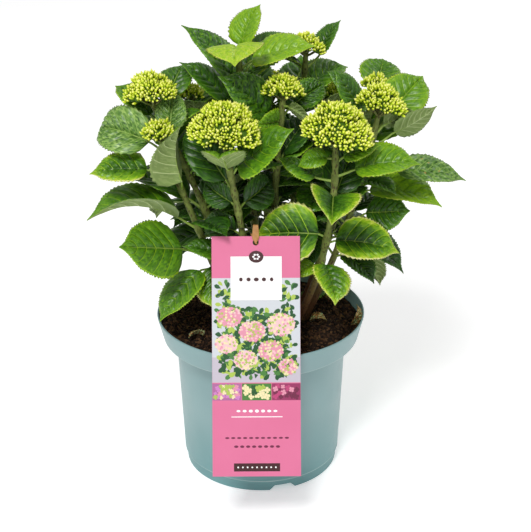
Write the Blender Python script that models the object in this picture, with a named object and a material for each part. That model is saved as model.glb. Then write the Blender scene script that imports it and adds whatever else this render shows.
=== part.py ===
"""A hydrangea in bud, grown as a clump of leafy shoots from one root in a round nursery pot.

Metres, +Z up, the origin under the middle of the pot. The front of the plant looks along -Y.
The clump is a set of shoots: each has a bare stem that rises from the soil, and above it a mass
of foliage, where leaves stand out on stalks and most stems end in a domed head of buds.
A planting card leans on the rim, tied to one of the stems.
"""

import math
import random
from dataclasses import dataclass, replace

import bmesh
import bpy
from mathutils import Matrix, Vector
from mathutils.bvhtree import BVHTree
from mathutils.noise import noise

MM = 0.001
CLEAR = 0.35 * MM  # gap kept where one solid rests on another

# The pot: a thin wall with a deep flared band at the rim and a notched foot ring.
POT_SIDES = 40
POT_HEIGHT = 183 * MM
RIM_RADIUS = 115 * MM
RIM_ROUND = 0.7 * MM
WALL = 1.5 * MM
BAND_HEIGHT = 27 * MM
BAND_RADIUS = 108.5 * MM
BODY_TOP_RADIUS = 94.5 * MM
BODY_LOW_RADIUS = 88 * MM
FOOT_RADIUS = 85.5 * MM
FOOT_HEIGHT = 13 * MM
FOOT_RING = 6 * MM
FLOOR_LIFT = 7 * MM
PAD_RADIUS = 30 * MM
NOTCH_COUNT = 3
NOTCH_FOOT = 15 * MM  # half its width where it stands
NOTCH_HEAD = 9 * MM
NOTCH_HEIGHT = 6 * MM
FIRST_NOTCH = math.radians(-74)

# The soil: level where the stems stand, crumbly towards the rim.
SOIL_TOP = 170 * MM
SOIL_GAP = 0.4 * MM
PLATEAU = 62 * MM
CRUMB_RINGS = (75 * MM, 92 * MM)
CRUMB_HEIGHT = 3 * MM

# The stems.
STEM_RADIUS = 3.9 * MM
STEM_TIP_RADIUS = 2.7 * MM
FLARE = 0.45  # how much wider a stem is at the soil, as a share
FLARE_LENGTH = 0.06
STEM_SIDES = 7
STEM_BANDS = 5
SHOOT_SIDES = 6
SHOOT_BANDS = 4
BARE_SHARE = 0.05  # bare stem left under the lowest leaf stalk

# The leaves.
STALK_RADIUS = 1.5 * MM
STALK_TAPER = 0.75
BLADE_THICKNESS = 2.2 * MM
BLADE_STATIONS = (0.09, 0.25, 0.45, 0.67, 0.86)
OUTLINE_POWERS = (0.52, 0.92)  # how full the outline is at its base and at its tip
KEEP_OUT = 1.7 * MM  # other pieces stay this far from a blade's middle surface
NUDGE_ANGLES = ((0, 0), (5, 0), (-5, 0), (0, 7), (0, -7), (10, 5), (-10, -5), (10, -9), (-10, 9),
                (16, 0), (-16, 0), (4, 16), (-4, -16), (24, 6), (-24, -6), (0, 26), (0, -26))
NUDGE_REACHES = (1.0, 0.88, 0.76)

# The heads of buds.
UMBELS = 7
UMBEL_SHARE = 0.185  # a small umbel's radius over the head's width
UMBEL_FLAT = 0.72
UMBEL_LEAN = 0.7  # how far the outermost umbels lean out, over the head's axis
UMBEL_SPREAD = 0.352  # how far their middles stand off that axis, over the head's width
HEAD_NOD = 4.0  # how strongly the head's axis follows the shoot's nod
DOME_RISE = 0.46  # the dome's middle over the stem's tip, over the head's width
DOME_DROP = 0.27  # the dome's edge under its middle
RAY_RADIUS = 1.0 * MM
GOLDEN_ANGLE = math.radians(137.508)

# The planting card and its tie.
CARD_WIDTH = 92 * MM
CARD_HEIGHT = 250 * MM
CARD_THICKNESS = 0.8 * MM
CARD_LEAN = math.radians(25)
CARD_ABOVE_RIM = 128 * MM
CARD_MIDDLE = -4.5 * MM
HOLE_RADIUS = 3.2 * MM
HOLE_INSET = 6.5 * MM
HOLE_SIDES = 16
TIE_RADIUS = 0.9 * MM
TIE_SLACK = 0.5 * MM
TIE_STEPS = 2
TIE_AT = 0.585  # where the tie goes round its stem

SEED = 11


def lerp(start, end, share):
    return start + (end - start) * share


@dataclass(frozen=True)
class Leaf:
    """One leaf: where it grows, and where its tip lies from there. Angles are in degrees."""

    at: float  # where its stalk leaves the stem, from 0 at the soil to 1 under the head
    heading: float  # 0 points right, 90 back and -90 to the front
    rise: float  # how steeply it climbs from the stem to its tip
    reach: float  # from the stem to its tip, in millimetres
    roll: float = 0.0  # turn about its own length
    fold: tuple = (14.0, 14.0)  # how far the left and right halves stand up
    arch: float = 0.07  # how far its middle bows up, over its length
    broad: float = 0.74  # its width over its length
    stalk: float = 0.20  # the stalk's share of the reach
    lift: float = 14.0  # how much steeper the stalk climbs than the leaf as a whole
    twin: bool = True  # whether the opposite leaf of its pair grows too


@dataclass(frozen=True)
class Shoot:
    """One stem, its leaves and its head. Lengths are in millimetres."""

    name: str
    foot: tuple  # x and y on the soil
    top: tuple  # x, y and z of the stem's tip
    bow: tuple  # how far the stem's middle stands off the straight line
    bloom: float  # the head's width, or 0 where the stem ends in leaves
    nod: tuple  # how far the head leans to x and y, over its height
    leaves: tuple  # the leaves that are set one by one
    pairs: tuple = ()  # and those that follow a rule


@dataclass(frozen=True)
class Pairs:
    """Leaves in crossed pairs: steep and short at the top, flatter and longer lower down."""

    turn: float  # the heading of the topmost pair
    count: int
    reach: float
    highest: float = 0.87
    lowest: float = 0.32
    steepest: float = 34.0
    flattest: float = -8.0

    def leaves(self):
        for level in range(self.count):
            share = level / max(1, self.count - 1)
            at = lerp(self.highest, self.lowest, share)
            rise = lerp(self.steepest, self.flattest, share)
            reach = self.reach * lerp(0.78, 1.0, min(1.0, 1.6 * share))
            for half in (0, 180):
                heading = self.turn + 90 * (level % 2) + half
                yield Leaf(at, heading, rise, reach, arch=0.10, stalk=0.26, lift=38, twin=False)


SHOOTS = (
    Shoot("crest", (0, 14), (-23, 28, 476), (2, 4, 0), 0, (0.0, 0.0), (
        Leaf(0.98, -91, 18, 82, roll=8, fold=(8, 26), arch=0.15, broad=0.80, stalk=0.24, lift=26,
             twin=False),
        Leaf(0.96, 50, 54, 62, fold=(16, 16), arch=0.09, broad=0.76, twin=False),
        Leaf(0.81, 161, 48, 102, roll=-2, fold=(12, 9), stalk=0.15, lift=20, twin=False),
        Leaf(0.92, -11, 20, 86, roll=20, fold=(10, 10), arch=0.06, lift=20, twin=False),
        Leaf(0.89, 35, 24, 77, roll=27, fold=(4, 9), arch=0.05, stalk=0.25, twin=False),
        Leaf(0.76, 171, 38, 88, roll=-10, fold=(8, 8), arch=0.06, stalk=0.26, lift=0, twin=False),
        Leaf(0.72, 88, 34, 100, twin=False),
    ), (Pairs(50, 3, 88, highest=0.62, lowest=0.36, steepest=20),)),
    Shoot("front_left", (-2, -22), (-36, -55, 400), (2, -6, 0), 76, (0.0, -0.06), (
        Leaf(0.85, -98, 38, 74, roll=5, fold=(14, 18), arch=0.08, broad=0.80, stalk=0.24, lift=-6),
        Leaf(0.84, -19, 41, 90, roll=30, fold=(0, 0), arch=0.02, broad=0.76, stalk=0.13,
             twin=False),
        Leaf(0.75, 131, 36, 96, roll=-33, fold=(24, 16), arch=0.06, broad=0.66, stalk=0.18,
             lift=4, twin=False),
        Leaf(0.67, 141, 27, 50, roll=-62, fold=(22, 26), arch=0.10, twin=False),
        Leaf(0.66, 55, 15, 62, roll=60, fold=(26, 20), arch=0.10, twin=False),
        Leaf(0.53, 142, 4, 54, roll=-54, fold=(18, 24), arch=0.10, twin=False),
        Leaf(0.39, -178, 16, 72, roll=-12, fold=(8, 10), arch=0.06, stalk=0.34, lift=0,
             twin=False),
    )),
    Shoot("front_right", (38, -12), (77, -58, 400), (12, -14, 0), 76, (0.02, -0.06), (
        Leaf(0.93, 173, -15, 40, roll=-32, fold=(14, 18), arch=0.10, broad=0.78, twin=False),
        Leaf(0.91, -5, 24, 50, roll=20, fold=(5, 5), arch=0.04, twin=False),
        Leaf(0.82, 166, 19, 64, roll=-14, fold=(0, -8), arch=0.06, stalk=0.32, lift=-12, twin=False),
        Leaf(0.84, -3, 10, 88, roll=21, fold=(16, 14), arch=0.09, broad=0.76, stalk=0.25,
             twin=False),
        Leaf(0.69, -94, 15, 92, roll=1, fold=(8, 22), arch=0.10, broad=0.80, lift=20, twin=False),
        Leaf(0.67, 69, 33, 82, roll=19, fold=(15, 20), stalk=0.25, twin=False),
        Leaf(0.53, 166, -4, 80, roll=-50, fold=(4, 20), arch=0.10, broad=0.88, stalk=0.12,
             lift=24, twin=False),
        Leaf(0.50, -4, -7, 78, roll=28, fold=(18, 12), arch=0.10, broad=0.80, stalk=0.13,
             lift=26, twin=False),
        Leaf(0.40, -78, -22, 64, roll=-27, fold=(16, 2), arch=0.09, broad=0.82, lift=28,
             twin=False),
        Leaf(0.38, -147, -11, 34, roll=-20, fold=(10, 14), lift=24, twin=False),
    )),
    Shoot("right", (48, 2), (124, -12, 416), (6, 0, -10), 54, (0.04, 0.0), (
        Leaf(0.92, 48, 32, 94, roll=31, fold=(12, 14), arch=0.09, broad=0.80, stalk=0.34, lift=0,
             twin=False),
        Leaf(0.92, 173, 58, 80, roll=-24, fold=(0, 2), arch=0.02, stalk=0.36, lift=2, twin=False),
        Leaf(0.91, 6, 28, 52, roll=-62, fold=(10, 10), arch=0.07, stalk=0.30, lift=20),
        Leaf(0.85, 8, 33, 84, roll=-54, fold=(-3, 0), arch=-0.04, broad=0.80, stalk=0.38, lift=4),
        Leaf(0.74, -2, -2, 110, roll=11, fold=(7, 10), arch=0.06, broad=0.74, stalk=0.33),
        Leaf(0.66, -11, -5, 92, roll=10, fold=(18, 16), arch=0.09, broad=0.78, stalk=0.16,
             lift=30),
        Leaf(0.50, -24, 29, 80, roll=40, fold=(4, -16), arch=0.0, broad=0.84, stalk=0.40, lift=20),
        Leaf(0.43, 7, -50, 72, roll=-38, fold=(6, 10), arch=0.06, broad=0.76, stalk=0.38,
             lift=24, twin=False),
    )),
    Shoot("left", (-22, -8), (-103, -30, 396), (4, 0, -14), 36, (-0.05, -0.03), (
        Leaf(0.78, -86, 68, 89, roll=60, fold=(24, 28), arch=0.10, broad=0.84, lift=-20, twin=False),
        Leaf(0.94, 143, 5, 93, roll=-48, fold=(20, 27), arch=0.17, broad=0.78, stalk=0.25, twin=False),
        Leaf(0.92, 82, 55, 74, roll=3, fold=(9, 6), arch=0.09, stalk=0.40, lift=2, twin=False),
        Leaf(0.85, 179, 0, 90, roll=-25, fold=(12, 12), broad=0.74, stalk=0.32, lift=10),
        Leaf(0.59, -166, 11, 121, roll=16, fold=(16, 32), arch=0.15, broad=0.80, stalk=0.22,
             lift=26),
        Leaf(0.45, -142, 25, 122, roll=-48, fold=(-8, -4), arch=0.01, broad=0.78, stalk=0.32,
             lift=6),
        Leaf(0.38, -135, -24, 90, roll=10, fold=(3, 5), arch=0.04, broad=0.76, stalk=0.26,
             lift=34),
        Leaf(0.42, -94, -23, 70, roll=20, fold=(-2, -12), arch=0.03, lift=24, twin=False),
    )),
    Shoot("left_high", (-20, 10), (-112, 0, 424), (8, 0, 0), 58, (-0.05, 0.0), (
        Leaf(0.89, 142, 30, 78, roll=-10, fold=(22, 22), broad=0.80, stalk=0.30, lift=0, twin=False),
        Leaf(0.92, 72, 37, 80, roll=8, fold=(0, 15), arch=0.08, stalk=0.36, twin=False),
        Leaf(0.72, 120, 26, 96, twin=False),
        Leaf(0.52, 168, 14, 104),
    ), (Pairs(50, 3, 96, highest=0.66, lowest=0.34, steepest=16),)),
    Shoot("centre", (14, 2), (25, 0, 429), (-4, 0, 0), 44, (0.0, 0.0), (
        Leaf(0.82, -170, 54, 98, roll=-40, fold=(14, 20), arch=0.08, broad=0.76, stalk=0.30,
             twin=False),
        Leaf(0.92, 38, 28, 64, roll=50, fold=(20, 24), arch=0.10, stalk=0.32, lift=9, twin=False),
        Leaf(0.97, -35, -20, 40, roll=-58, fold=(2, 6), arch=0.04, lift=22, twin=False),
        Leaf(0.90, -131, 2, 46, roll=-90, fold=(10, 14), arch=0.05, stalk=0.12, twin=False),
        Leaf(0.70, 60, 24, 76),
    ), (Pairs(30, 4, 84, highest=0.66, lowest=0.34, steepest=18),)),
    Shoot("back_right", (24, 30), (50, 62, 458), (2, 4, 0), 40, (0.02, 0.02), (
        Leaf(0.94, 30, 47, 66, roll=5, fold=(10, 18), arch=0.06, stalk=0.34, lift=-12, twin=False),
        Leaf(0.79, 34, 30, 72, roll=3, fold=(27, 10), arch=0.12, broad=0.84, stalk=0.28, lift=40,
             twin=False),
        Leaf(0.74, 0, 12, 84, roll=-28, fold=(8, 20), arch=0.14, stalk=0.30, twin=False),
        Leaf(0.70, 88, 26, 98),
        Leaf(0.56, 20, 12, 100),
    ), (Pairs(110, 3, 92, highest=0.60, lowest=0.34, steepest=14),)),
    Shoot("right_back", (44, 24), (125, 45, 420), (4, 0, 0), 34, (0.04, 0.03), (
        Leaf(0.97, 79, 17, 78, roll=22, fold=(0, 15), arch=0.08, broad=0.80, stalk=0.26, lift=0,
             twin=False),
        Leaf(0.93, 180, 41, 64, roll=-24, fold=(0, 2), arch=0.03, stalk=0.35, lift=8),
        Leaf(0.74, 30, 20, 96, roll=8),
        Leaf(0.56, 70, 12, 108),
    ), (Pairs(-30, 3, 96, highest=0.62, lowest=0.34, steepest=14),)),
    Shoot("back_left", (-12, 26), (-75, 55, 409), (6, 0, 0), 32, (-0.04, 0.03), (
        Leaf(0.86, 64, 36, 70),
        Leaf(0.76, 150, 28, 98),
        Leaf(0.54, 110, 10, 106),
    ), (Pairs(20, 3, 92, highest=0.66, lowest=0.34, steepest=14),)),
    Shoot("rear_left", (-26, 42), (-46, 84, 416), (-2, 8, 0), 34, (-0.03, 0.05), (),
          (Pairs(20, 5, 100),)),
    Shoot("rear", (4, 48), (12, 104, 388), (0, 12, 0), 62, (0.0, 0.08), (),
          (Pairs(70, 5, 108),)),
    Shoot("rear_right", (32, 46), (84, 100, 384), (2, 10, 0), 58, (0.05, 0.07), (),
          (Pairs(35, 5, 108),)),
    Shoot("rear_low", (-12, 58), (-62, 124, 330), (-4, 10, 0), 50, (-0.05, 0.1), (),
          (Pairs(50, 4, 100),)),
)

POT_COLOUR = (0.26, 0.37, 0.36)
SOIL_COLOUR = (0.030, 0.019, 0.013)
STEM_COLOUR = (0.16, 0.17, 0.055)
FOLIAGE_COLOUR = (0.11, 0.22, 0.045)
CARD_COLOUR = (0.80, 0.20, 0.37)
TIE_COLOUR = (0.13, 0.06, 0.035)


def direction(heading, rise):
    """The unit vector of a heading and a climb in degrees."""
    heading, rise = math.radians(heading), math.radians(rise)
    flat = math.cos(rise)
    return Vector((flat * math.cos(heading), flat * math.sin(heading), math.sin(rise)))


def across(axis, hint):
    """The hint, turned square to the axis."""
    return (hint - axis * hint.dot(axis)).normalized()


def bezier(start, middle, end, share):
    back = 1 - share
    return start * back * back + middle * 2 * back * share + end * share * share


def bezier_way(start, middle, end, share):
    return ((middle - start) * (1 - share) + (end - middle) * share).normalized()


def closed_mesh(points, faces):
    """A bmesh from points and faces, facing out."""
    bm = bmesh.new()
    verts = [bm.verts.new(point) for point in points]
    for face in faces:
        bm.faces.new([verts[index] for index in face])
    bmesh.ops.recalc_face_normals(bm, faces=bm.faces)
    return bm


def loft(rings, start=None, end=None):
    """The points and faces of a skin over rings, closed by a point or a flat cap at each end."""
    sides = len(rings[0])
    points = [point for ring in rings for point in ring]
    faces = []
    for low in range(len(rings) - 1):
        for side in range(sides):
            after = (side + 1) % sides
            first = low * sides
            faces.append((first + side, first + after, first + sides + after, first + sides + side))
    for apex, first in ((start, 0), (end, (len(rings) - 1) * sides)):
        if apex is None:
            faces.append(tuple(range(first, first + sides)))
            continue
        points.append(apex)
        for side in range(sides):
            faces.append((first + side, first + (side + 1) % sides, len(points) - 1))
    return points, faces


def ring(centre, axis, radius, sides, hint=Vector((0, 0, 1))):
    """A ring of points round an axis."""
    if abs(axis.dot(hint)) > 0.9:
        hint = Vector((1, 0, 0))
    first = across(axis, hint)
    second = axis.cross(first)
    turns = [2 * math.pi * side / sides for side in range(sides)]
    return [centre + (first * math.cos(turn) + second * math.sin(turn)) * radius for turn in turns]


class Stem:
    """The line of one shoot's stem, from the soil to its tip."""

    def __init__(self, shoot):
        self.start = Vector((*shoot.foot, SOIL_TOP / MM)) * MM
        self.end = Vector(shoot.top) * MM
        self.middle = (self.start + self.end) / 2 + Vector(shoot.bow) * 2 * MM
        self.length = (self.end - self.start).length

    def point(self, at):
        return bezier(self.start, self.middle, self.end, at)

    def way(self, at):
        return bezier_way(self.start, self.middle, self.end, at)

    def radius(self, at):
        flare = 1 + FLARE * max(0.0, 1 - at / FLARE_LENGTH) ** 2
        return lerp(STEM_RADIUS, STEM_TIP_RADIUS, at) * flare

    def solid(self, low, high, sides, bands, flat_foot=False):
        """A tapering limb between two places on the line; a foot is cut level."""
        rings = []
        for band in range(bands + 1):
            at = lerp(low, high, (band / bands) ** (1.6 if flat_foot else 1.0))
            way = Vector((0, 0, 1)) if flat_foot and band == 0 else self.way(at)
            rings.append(ring(self.point(at), way, self.radius(at), sides, Vector((0, 1, 0))))
        if flat_foot:
            rings[0] = [point + Vector((0, 0, CLEAR)) for point in rings[0]]
        return loft(rings)


class Blade:
    """The curved frame of one leaf, with its stalk."""

    def __init__(self, stem, leaf):
        self.leaf = leaf
        self.node = stem.point(leaf.at)
        reach = leaf.reach * MM
        self.tip = self.node + direction(leaf.heading, leaf.rise) * reach
        out = direction(leaf.heading, leaf.rise + leaf.lift)
        self.base = self.node + out * reach * leaf.stalk
        chord = self.tip - self.base
        self.length = chord.length
        along = chord.normalized()
        upright = across(along, Vector((0, 0, 1)))
        self.up = Matrix.Rotation(math.radians(leaf.roll), 3, along) @ upright
        self.middle = (self.base + self.tip) / 2 + self.up * leaf.arch * 2 * self.length

    def half_width(self, t):
        """Half the width at a share of the length: an egg-shaped outline with a drawn-out tip."""
        low, high = OUTLINE_POWERS
        widest = low / (low + high)
        fullness = (t / widest) ** low * ((1 - t) / (1 - widest)) ** high
        return 0.5 * self.leaf.broad * self.length * fullness

    def place(self, t, s, lift=0.0, grow=0.0):
        """A point of the blade: t along it, s across it from -1 on the left to 1 on the right."""
        centre = bezier(self.base, self.middle, self.tip, t)
        way = bezier_way(self.base, self.middle, self.tip, t)
        side = way.cross(self.up).normalized()
        up = side.cross(way)
        fold = math.radians(self.leaf.fold[0 if s < 0 else 1])
        width = self.half_width(t) + grow if 0 < t < 1 else grow
        out = side * s * math.cos(fold) + up * abs(s) * math.sin(fold)
        return centre + out * width + up * lift

    def stalk_rings(self, grow=0.0):
        """The diamond sections of the stalk, inside the stem and where the blade begins."""
        way = (self.base - self.node).normalized()
        side = across(way, way.cross(self.up))
        up = side.cross(way)
        for point, share in ((self.node, 1.0), (self.base, STALK_TAPER)):
            radius = STALK_RADIUS * share + grow
            yield [point + turn * radius for turn in (-side, up, side, -up)]

    def solid(self):
        """The whole leaf: its stalk, which flattens into a thin lens, thickest at the midrib."""
        rings = list(self.stalk_rings())
        for t in BLADE_STATIONS:
            top = self.place(t, 0, BLADE_THICKNESS / 2)
            under = self.place(t, 0, -BLADE_THICKNESS / 2)
            rings.append([self.place(t, -1), top, self.place(t, 1), under])
        return loft(rings, None, self.place(1, 0))

    def room(self):
        """The space round the blade that no other piece may enter."""
        rings = []
        for t in (0.02, *BLADE_STATIONS, 0.99):
            rings.append([self.place(t, s, lift, KEEP_OUT / 2) for s, lift in (
                (-1, -KEEP_OUT), (-1, KEEP_OUT), (0, KEEP_OUT),
                (1, KEEP_OUT), (1, -KEEP_OUT), (0, -KEEP_OUT))])
        return loft(rings)

    def stalk_room(self):
        return loft(list(self.stalk_rings(CLEAR)))


class Head:
    """The layout of one domed head: small umbels on rays from the stem's tip."""

    def __init__(self, stem, shoot):
        self.width = shoot.bloom * MM
        self.start = stem.point(0.99)
        self.axis = (Vector((0, 0, 1)) + Vector((*shoot.nod, 0)) * HEAD_NOD).normalized()
        self.first = across(self.axis, Vector((1, 0, 0)))
        self.second = self.axis.cross(self.first)

    def umbels(self):
        """The middle and the axis of each small umbel, from the dome's middle outwards."""
        found = []
        for index in range(UMBELS):
            share = math.sqrt(index / (UMBELS - 1))
            turn = index * GOLDEN_ANGLE
            flat = self.first * math.cos(turn) + self.second * math.sin(turn)
            height = self.width * (DOME_RISE - DOME_DROP * share * share)
            middle = self.start + self.axis * height + flat * self.width * UMBEL_SPREAD * share
            found.append((middle, (self.axis + flat * UMBEL_LEAN * share).normalized()))
        return found

    def solids(self, grow=0.0):
        """A low drum of buds for each umbel, and the ray that carries it."""
        found = []
        radius = self.width * UMBEL_SHARE
        for middle, axis in self.umbels():
            bm = bmesh.new()
            bmesh.ops.create_icosphere(bm, subdivisions=1, radius=radius + grow)
            turn = axis.to_track_quat("Z", "Y").to_matrix().to_4x4()
            flat = Matrix.Diagonal((1, 1, UMBEL_FLAT, 1))
            bm.transform(Matrix.Translation(middle) @ turn @ flat)
            found.append(([v.co.copy() for v in bm.verts],
                          [tuple(v.index for v in f.verts) for f in bm.faces]))
            bm.free()
            way = (middle - self.start).normalized()
            start = self.start - way * RAY_RADIUS
            radii = (RAY_RADIUS * 1.2 + grow, RAY_RADIUS + grow)
            ends = (start, middle)
            found.append(loft([ring(p, way, r, 3) for p, r in zip(ends, radii)]))
        return found


class Ledger:
    """The pieces that are in place, to test whether a new one has room."""

    def __init__(self):
        self.trees = []

    @staticmethod
    def tree_of(points, faces):
        low = Vector(min(p[i] for p in points) for i in range(3))
        high = Vector(max(p[i] for p in points) for i in range(3))
        return low, high, BVHTree.FromPolygons(points, faces)

    def add(self, owner, points, faces):
        self.trees.append((owner, *self.tree_of(points, faces)))

    def touches(self, points, faces, but=()):
        """Whether a shape meets a piece in place, other than those of some owners."""
        low, high, tree = self.tree_of(points, faces)
        for owner, other_low, other_high, other in self.trees:
            if owner in but or any(
                low[i] > other_high[i] or high[i] < other_low[i] for i in range(3)
            ):
                continue
            if tree.overlap(other):
                return True
        return False


def twin_of(leaf, dice):
    """The opposite leaf of a pair, a little different from the first."""
    return Leaf(
        leaf.at - 0.004,
        leaf.heading + 180 + dice.uniform(-14, 14),
        min(58.0, abs(leaf.rise)) * dice.uniform(0.55, 0.9) + 4,
        leaf.reach * dice.uniform(0.82, 0.98),
        roll=dice.uniform(-14, 14),
        twin=False,
    )


def placed_leaves(stems, ledger):
    """Each shoot's leaves that have room: those set one by one first, then those by rule."""
    dice = random.Random(SEED)
    found = {shoot.name: [] for shoot in SHOOTS}
    wanted = [(shoot, leaf) for shoot in SHOOTS for leaf in shoot.leaves]
    wanted += [(shoot, twin_of(leaf, dice)) for shoot, leaf in wanted if leaf.twin]
    wanted += [(shoot, leaf) for shoot in SHOOTS for pairs in shoot.pairs for leaf in pairs.leaves()]
    for shoot, leaf in wanted:
        stem = stems[shoot.name]
        for blade in tries(stem, leaf):
            if ledger.touches(*blade.room()):
                continue
            stalk = blade.stalk_room()
            if ledger.touches(*stalk, but=(f"{shoot.name} stem", f"{shoot.name} stalks")):
                continue
            ledger.add(f"{shoot.name} leaves", *blade.room())
            ledger.add(f"{shoot.name} stalks", *stalk)
            found[shoot.name].append(blade)
            break
    return found


def tries(stem, leaf):
    """The leaf as it is wanted, and then a little turned, lifted or shorter."""
    for share in NUDGE_REACHES:
        for lift, turn in NUDGE_ANGLES:
            rise, heading = leaf.rise + lift, leaf.heading + turn
            yield Blade(stem, replace(leaf, rise=rise, heading=heading, reach=leaf.reach * share))


def finish(name, colour, roughness):
    """A plain material."""
    material = bpy.data.materials.new(name)
    material.use_nodes = True
    shader = material.node_tree.nodes["Principled BSDF"]
    shader.inputs["Base Color"].default_value = (*colour, 1.0)
    shader.inputs["Roughness"].default_value = roughness
    shader.inputs["Metallic"].default_value = 0.0
    return material


def add_object(name, points, faces, material=None, smooth=False):
    """A closed mesh as an object."""
    bm = closed_mesh(points, faces)
    mesh = bpy.data.meshes.new(name)
    bm.to_mesh(mesh)
    bm.free()
    if material:
        mesh.materials.append(material)
    if smooth:
        mesh.shade_smooth()
        mesh.set_sharp_from_angle(angle=math.radians(40))
    obj = bpy.data.objects.new(name, mesh)
    bpy.context.scene.collection.objects.link(obj)
    return obj


def cut(obj, cutter):
    """A Boolean cut by a hidden object."""
    cutter.hide_render = True
    cutter.display_type = "WIRE"
    modifier = obj.modifiers.new(cutter.name, "BOOLEAN")
    modifier.operation = "DIFFERENCE"
    modifier.object = cutter


def turned(profile, low, high, bump=None):
    """A turned solid: a profile of (radius, height) from the axis below to the axis above."""
    rings = []
    for radius, height in profile:
        points = []
        for side in range(POT_SIDES):
            turn = 2 * math.pi * side / POT_SIDES
            point = Vector((radius * math.cos(turn), radius * math.sin(turn), height))
            points.append(point + Vector((0, 0, bump(point) if bump else 0)))
        rings.append(points)
    return loft(rings, Vector((0, 0, low)), Vector((0, 0, high)))


def inner_radius(height):
    """The radius of the pot's inner wall at a height over the floor."""
    ledge = POT_HEIGHT - BAND_HEIGHT
    if height < ledge + WALL:
        share = (height - FOOT_HEIGHT) / (ledge - FOOT_HEIGHT)
        return lerp(BODY_LOW_RADIUS, BODY_TOP_RADIUS, share) - WALL
    return lerp(BAND_RADIUS, RIM_RADIUS, (height - ledge) / BAND_HEIGHT) - WALL


def add_pot():
    ledge = POT_HEIGHT - BAND_HEIGHT
    inside = FLOOR_LIFT + WALL
    profile = (
        (PAD_RADIUS, 0), (PAD_RADIUS + WALL, FLOOR_LIFT),
        (FOOT_RADIUS - FOOT_RING - WALL, FLOOR_LIFT), (FOOT_RADIUS - FOOT_RING, 0),
        (FOOT_RADIUS, 0), (FOOT_RADIUS, FOOT_HEIGHT - WALL), (BODY_LOW_RADIUS, FOOT_HEIGHT),
        (BODY_TOP_RADIUS, ledge), (BAND_RADIUS, ledge),
        (RIM_RADIUS, POT_HEIGHT - 2 * RIM_ROUND), (RIM_RADIUS, POT_HEIGHT - RIM_ROUND),
        (RIM_RADIUS - RIM_ROUND, POT_HEIGHT), (RIM_RADIUS - WALL, POT_HEIGHT),
        (inner_radius(ledge + WALL), ledge + WALL), (BODY_TOP_RADIUS - WALL, ledge + WALL),
        (inner_radius(inside), inside),
    )
    solid = turned(profile, 0, inside)
    pot = add_object("pot", *solid, finish("pot plastic", POT_COLOUR, 0.4), smooth=True)
    for index in range(NOTCH_COUNT):
        turn = Matrix.Rotation(FIRST_NOTCH + 2 * math.pi * index / NOTCH_COUNT, 4, "Z")
        section = ((-NOTCH_FOOT, 0), (-NOTCH_HEAD, NOTCH_HEIGHT),
                   (NOTCH_HEAD, NOTCH_HEIGHT), (NOTCH_FOOT, 0), (NOTCH_FOOT, -WALL),
                   (-NOTCH_FOOT, -WALL))
        spans = (FOOT_RADIUS - 2 * FOOT_RING, BODY_LOW_RADIUS + FOOT_RING)
        rings = [[turn @ Vector((span, y, z)) for y, z in section] for span in spans]
        cut(pot, add_object(f"notch cutter {index + 1}", *loft(rings)))
    return solid


def crumbs(point):
    """How far the soil stands up or lies low at a place near the rim."""
    radius = math.hypot(point.x, point.y)
    if point.z < SOIL_TOP - CRUMB_HEIGHT or radius <= PLATEAU + MM:
        return 0.0
    return CRUMB_HEIGHT * noise(point * 45)


def add_soil():
    """The potting soil, which fills the pot to just under its rim."""
    ledge = POT_HEIGHT - BAND_HEIGHT + WALL + SOIL_GAP
    floor = FLOOR_LIFT + WALL + SOIL_GAP
    edge = SOIL_TOP - CRUMB_HEIGHT
    profile = [
        (inner_radius(floor) - SOIL_GAP, floor), (BODY_TOP_RADIUS - WALL - SOIL_GAP, ledge),
        (inner_radius(ledge) - SOIL_GAP, ledge), (inner_radius(edge) - SOIL_GAP, edge),
        *((radius, SOIL_TOP) for radius in reversed(CRUMB_RINGS)), (PLATEAU, SOIL_TOP),
    ]
    add_object("soil", *turned(profile, floor, SOIL_TOP, crumbs),
               finish("soil", SOIL_COLOUR, 1.0))


class Card:
    """The planting card's place: its back rests on the front of the rim, leaning back."""

    def __init__(self):
        self.right = Vector((1, 0, 0))
        self.up = Vector((0, math.sin(CARD_LEAN), math.cos(CARD_LEAN)))
        self.out = self.right.cross(self.up)
        rest = Vector((CARD_MIDDLE, -RIM_RADIUS, POT_HEIGHT - RIM_ROUND / 2))
        rest += self.out * (CLEAR + RIM_ROUND / 2 + CARD_THICKNESS / 2)
        self.top = rest + self.up * CARD_ABOVE_RIM
        self.hole = self.top - self.up * HOLE_INSET

    def solid(self, grow=0.0):
        halves = Vector((CARD_WIDTH / 2 + grow, 0, CARD_THICKNESS / 2 + grow))
        rings = []
        for height in (-CARD_HEIGHT - grow, grow):
            middle = self.top + self.up * height
            rings.append([
                middle + self.right * halves.x * x + self.out * halves.z * z
                for x, z in ((-1, -1), (1, -1), (1, 1), (-1, 1))])
        return loft(rings)


def add_card(card):
    obj = add_object("tag", *card.solid(), finish("printed card", CARD_COLOUR, 0.4))
    depth = card.out * CARD_THICKNESS * 2
    ends = (card.hole - depth, card.hole + depth)
    rings = [ring(end, card.out, HOLE_RADIUS, HOLE_SIDES, card.up) for end in ends]
    cut(obj, add_object("hole cutter", *loft(rings)))


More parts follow.
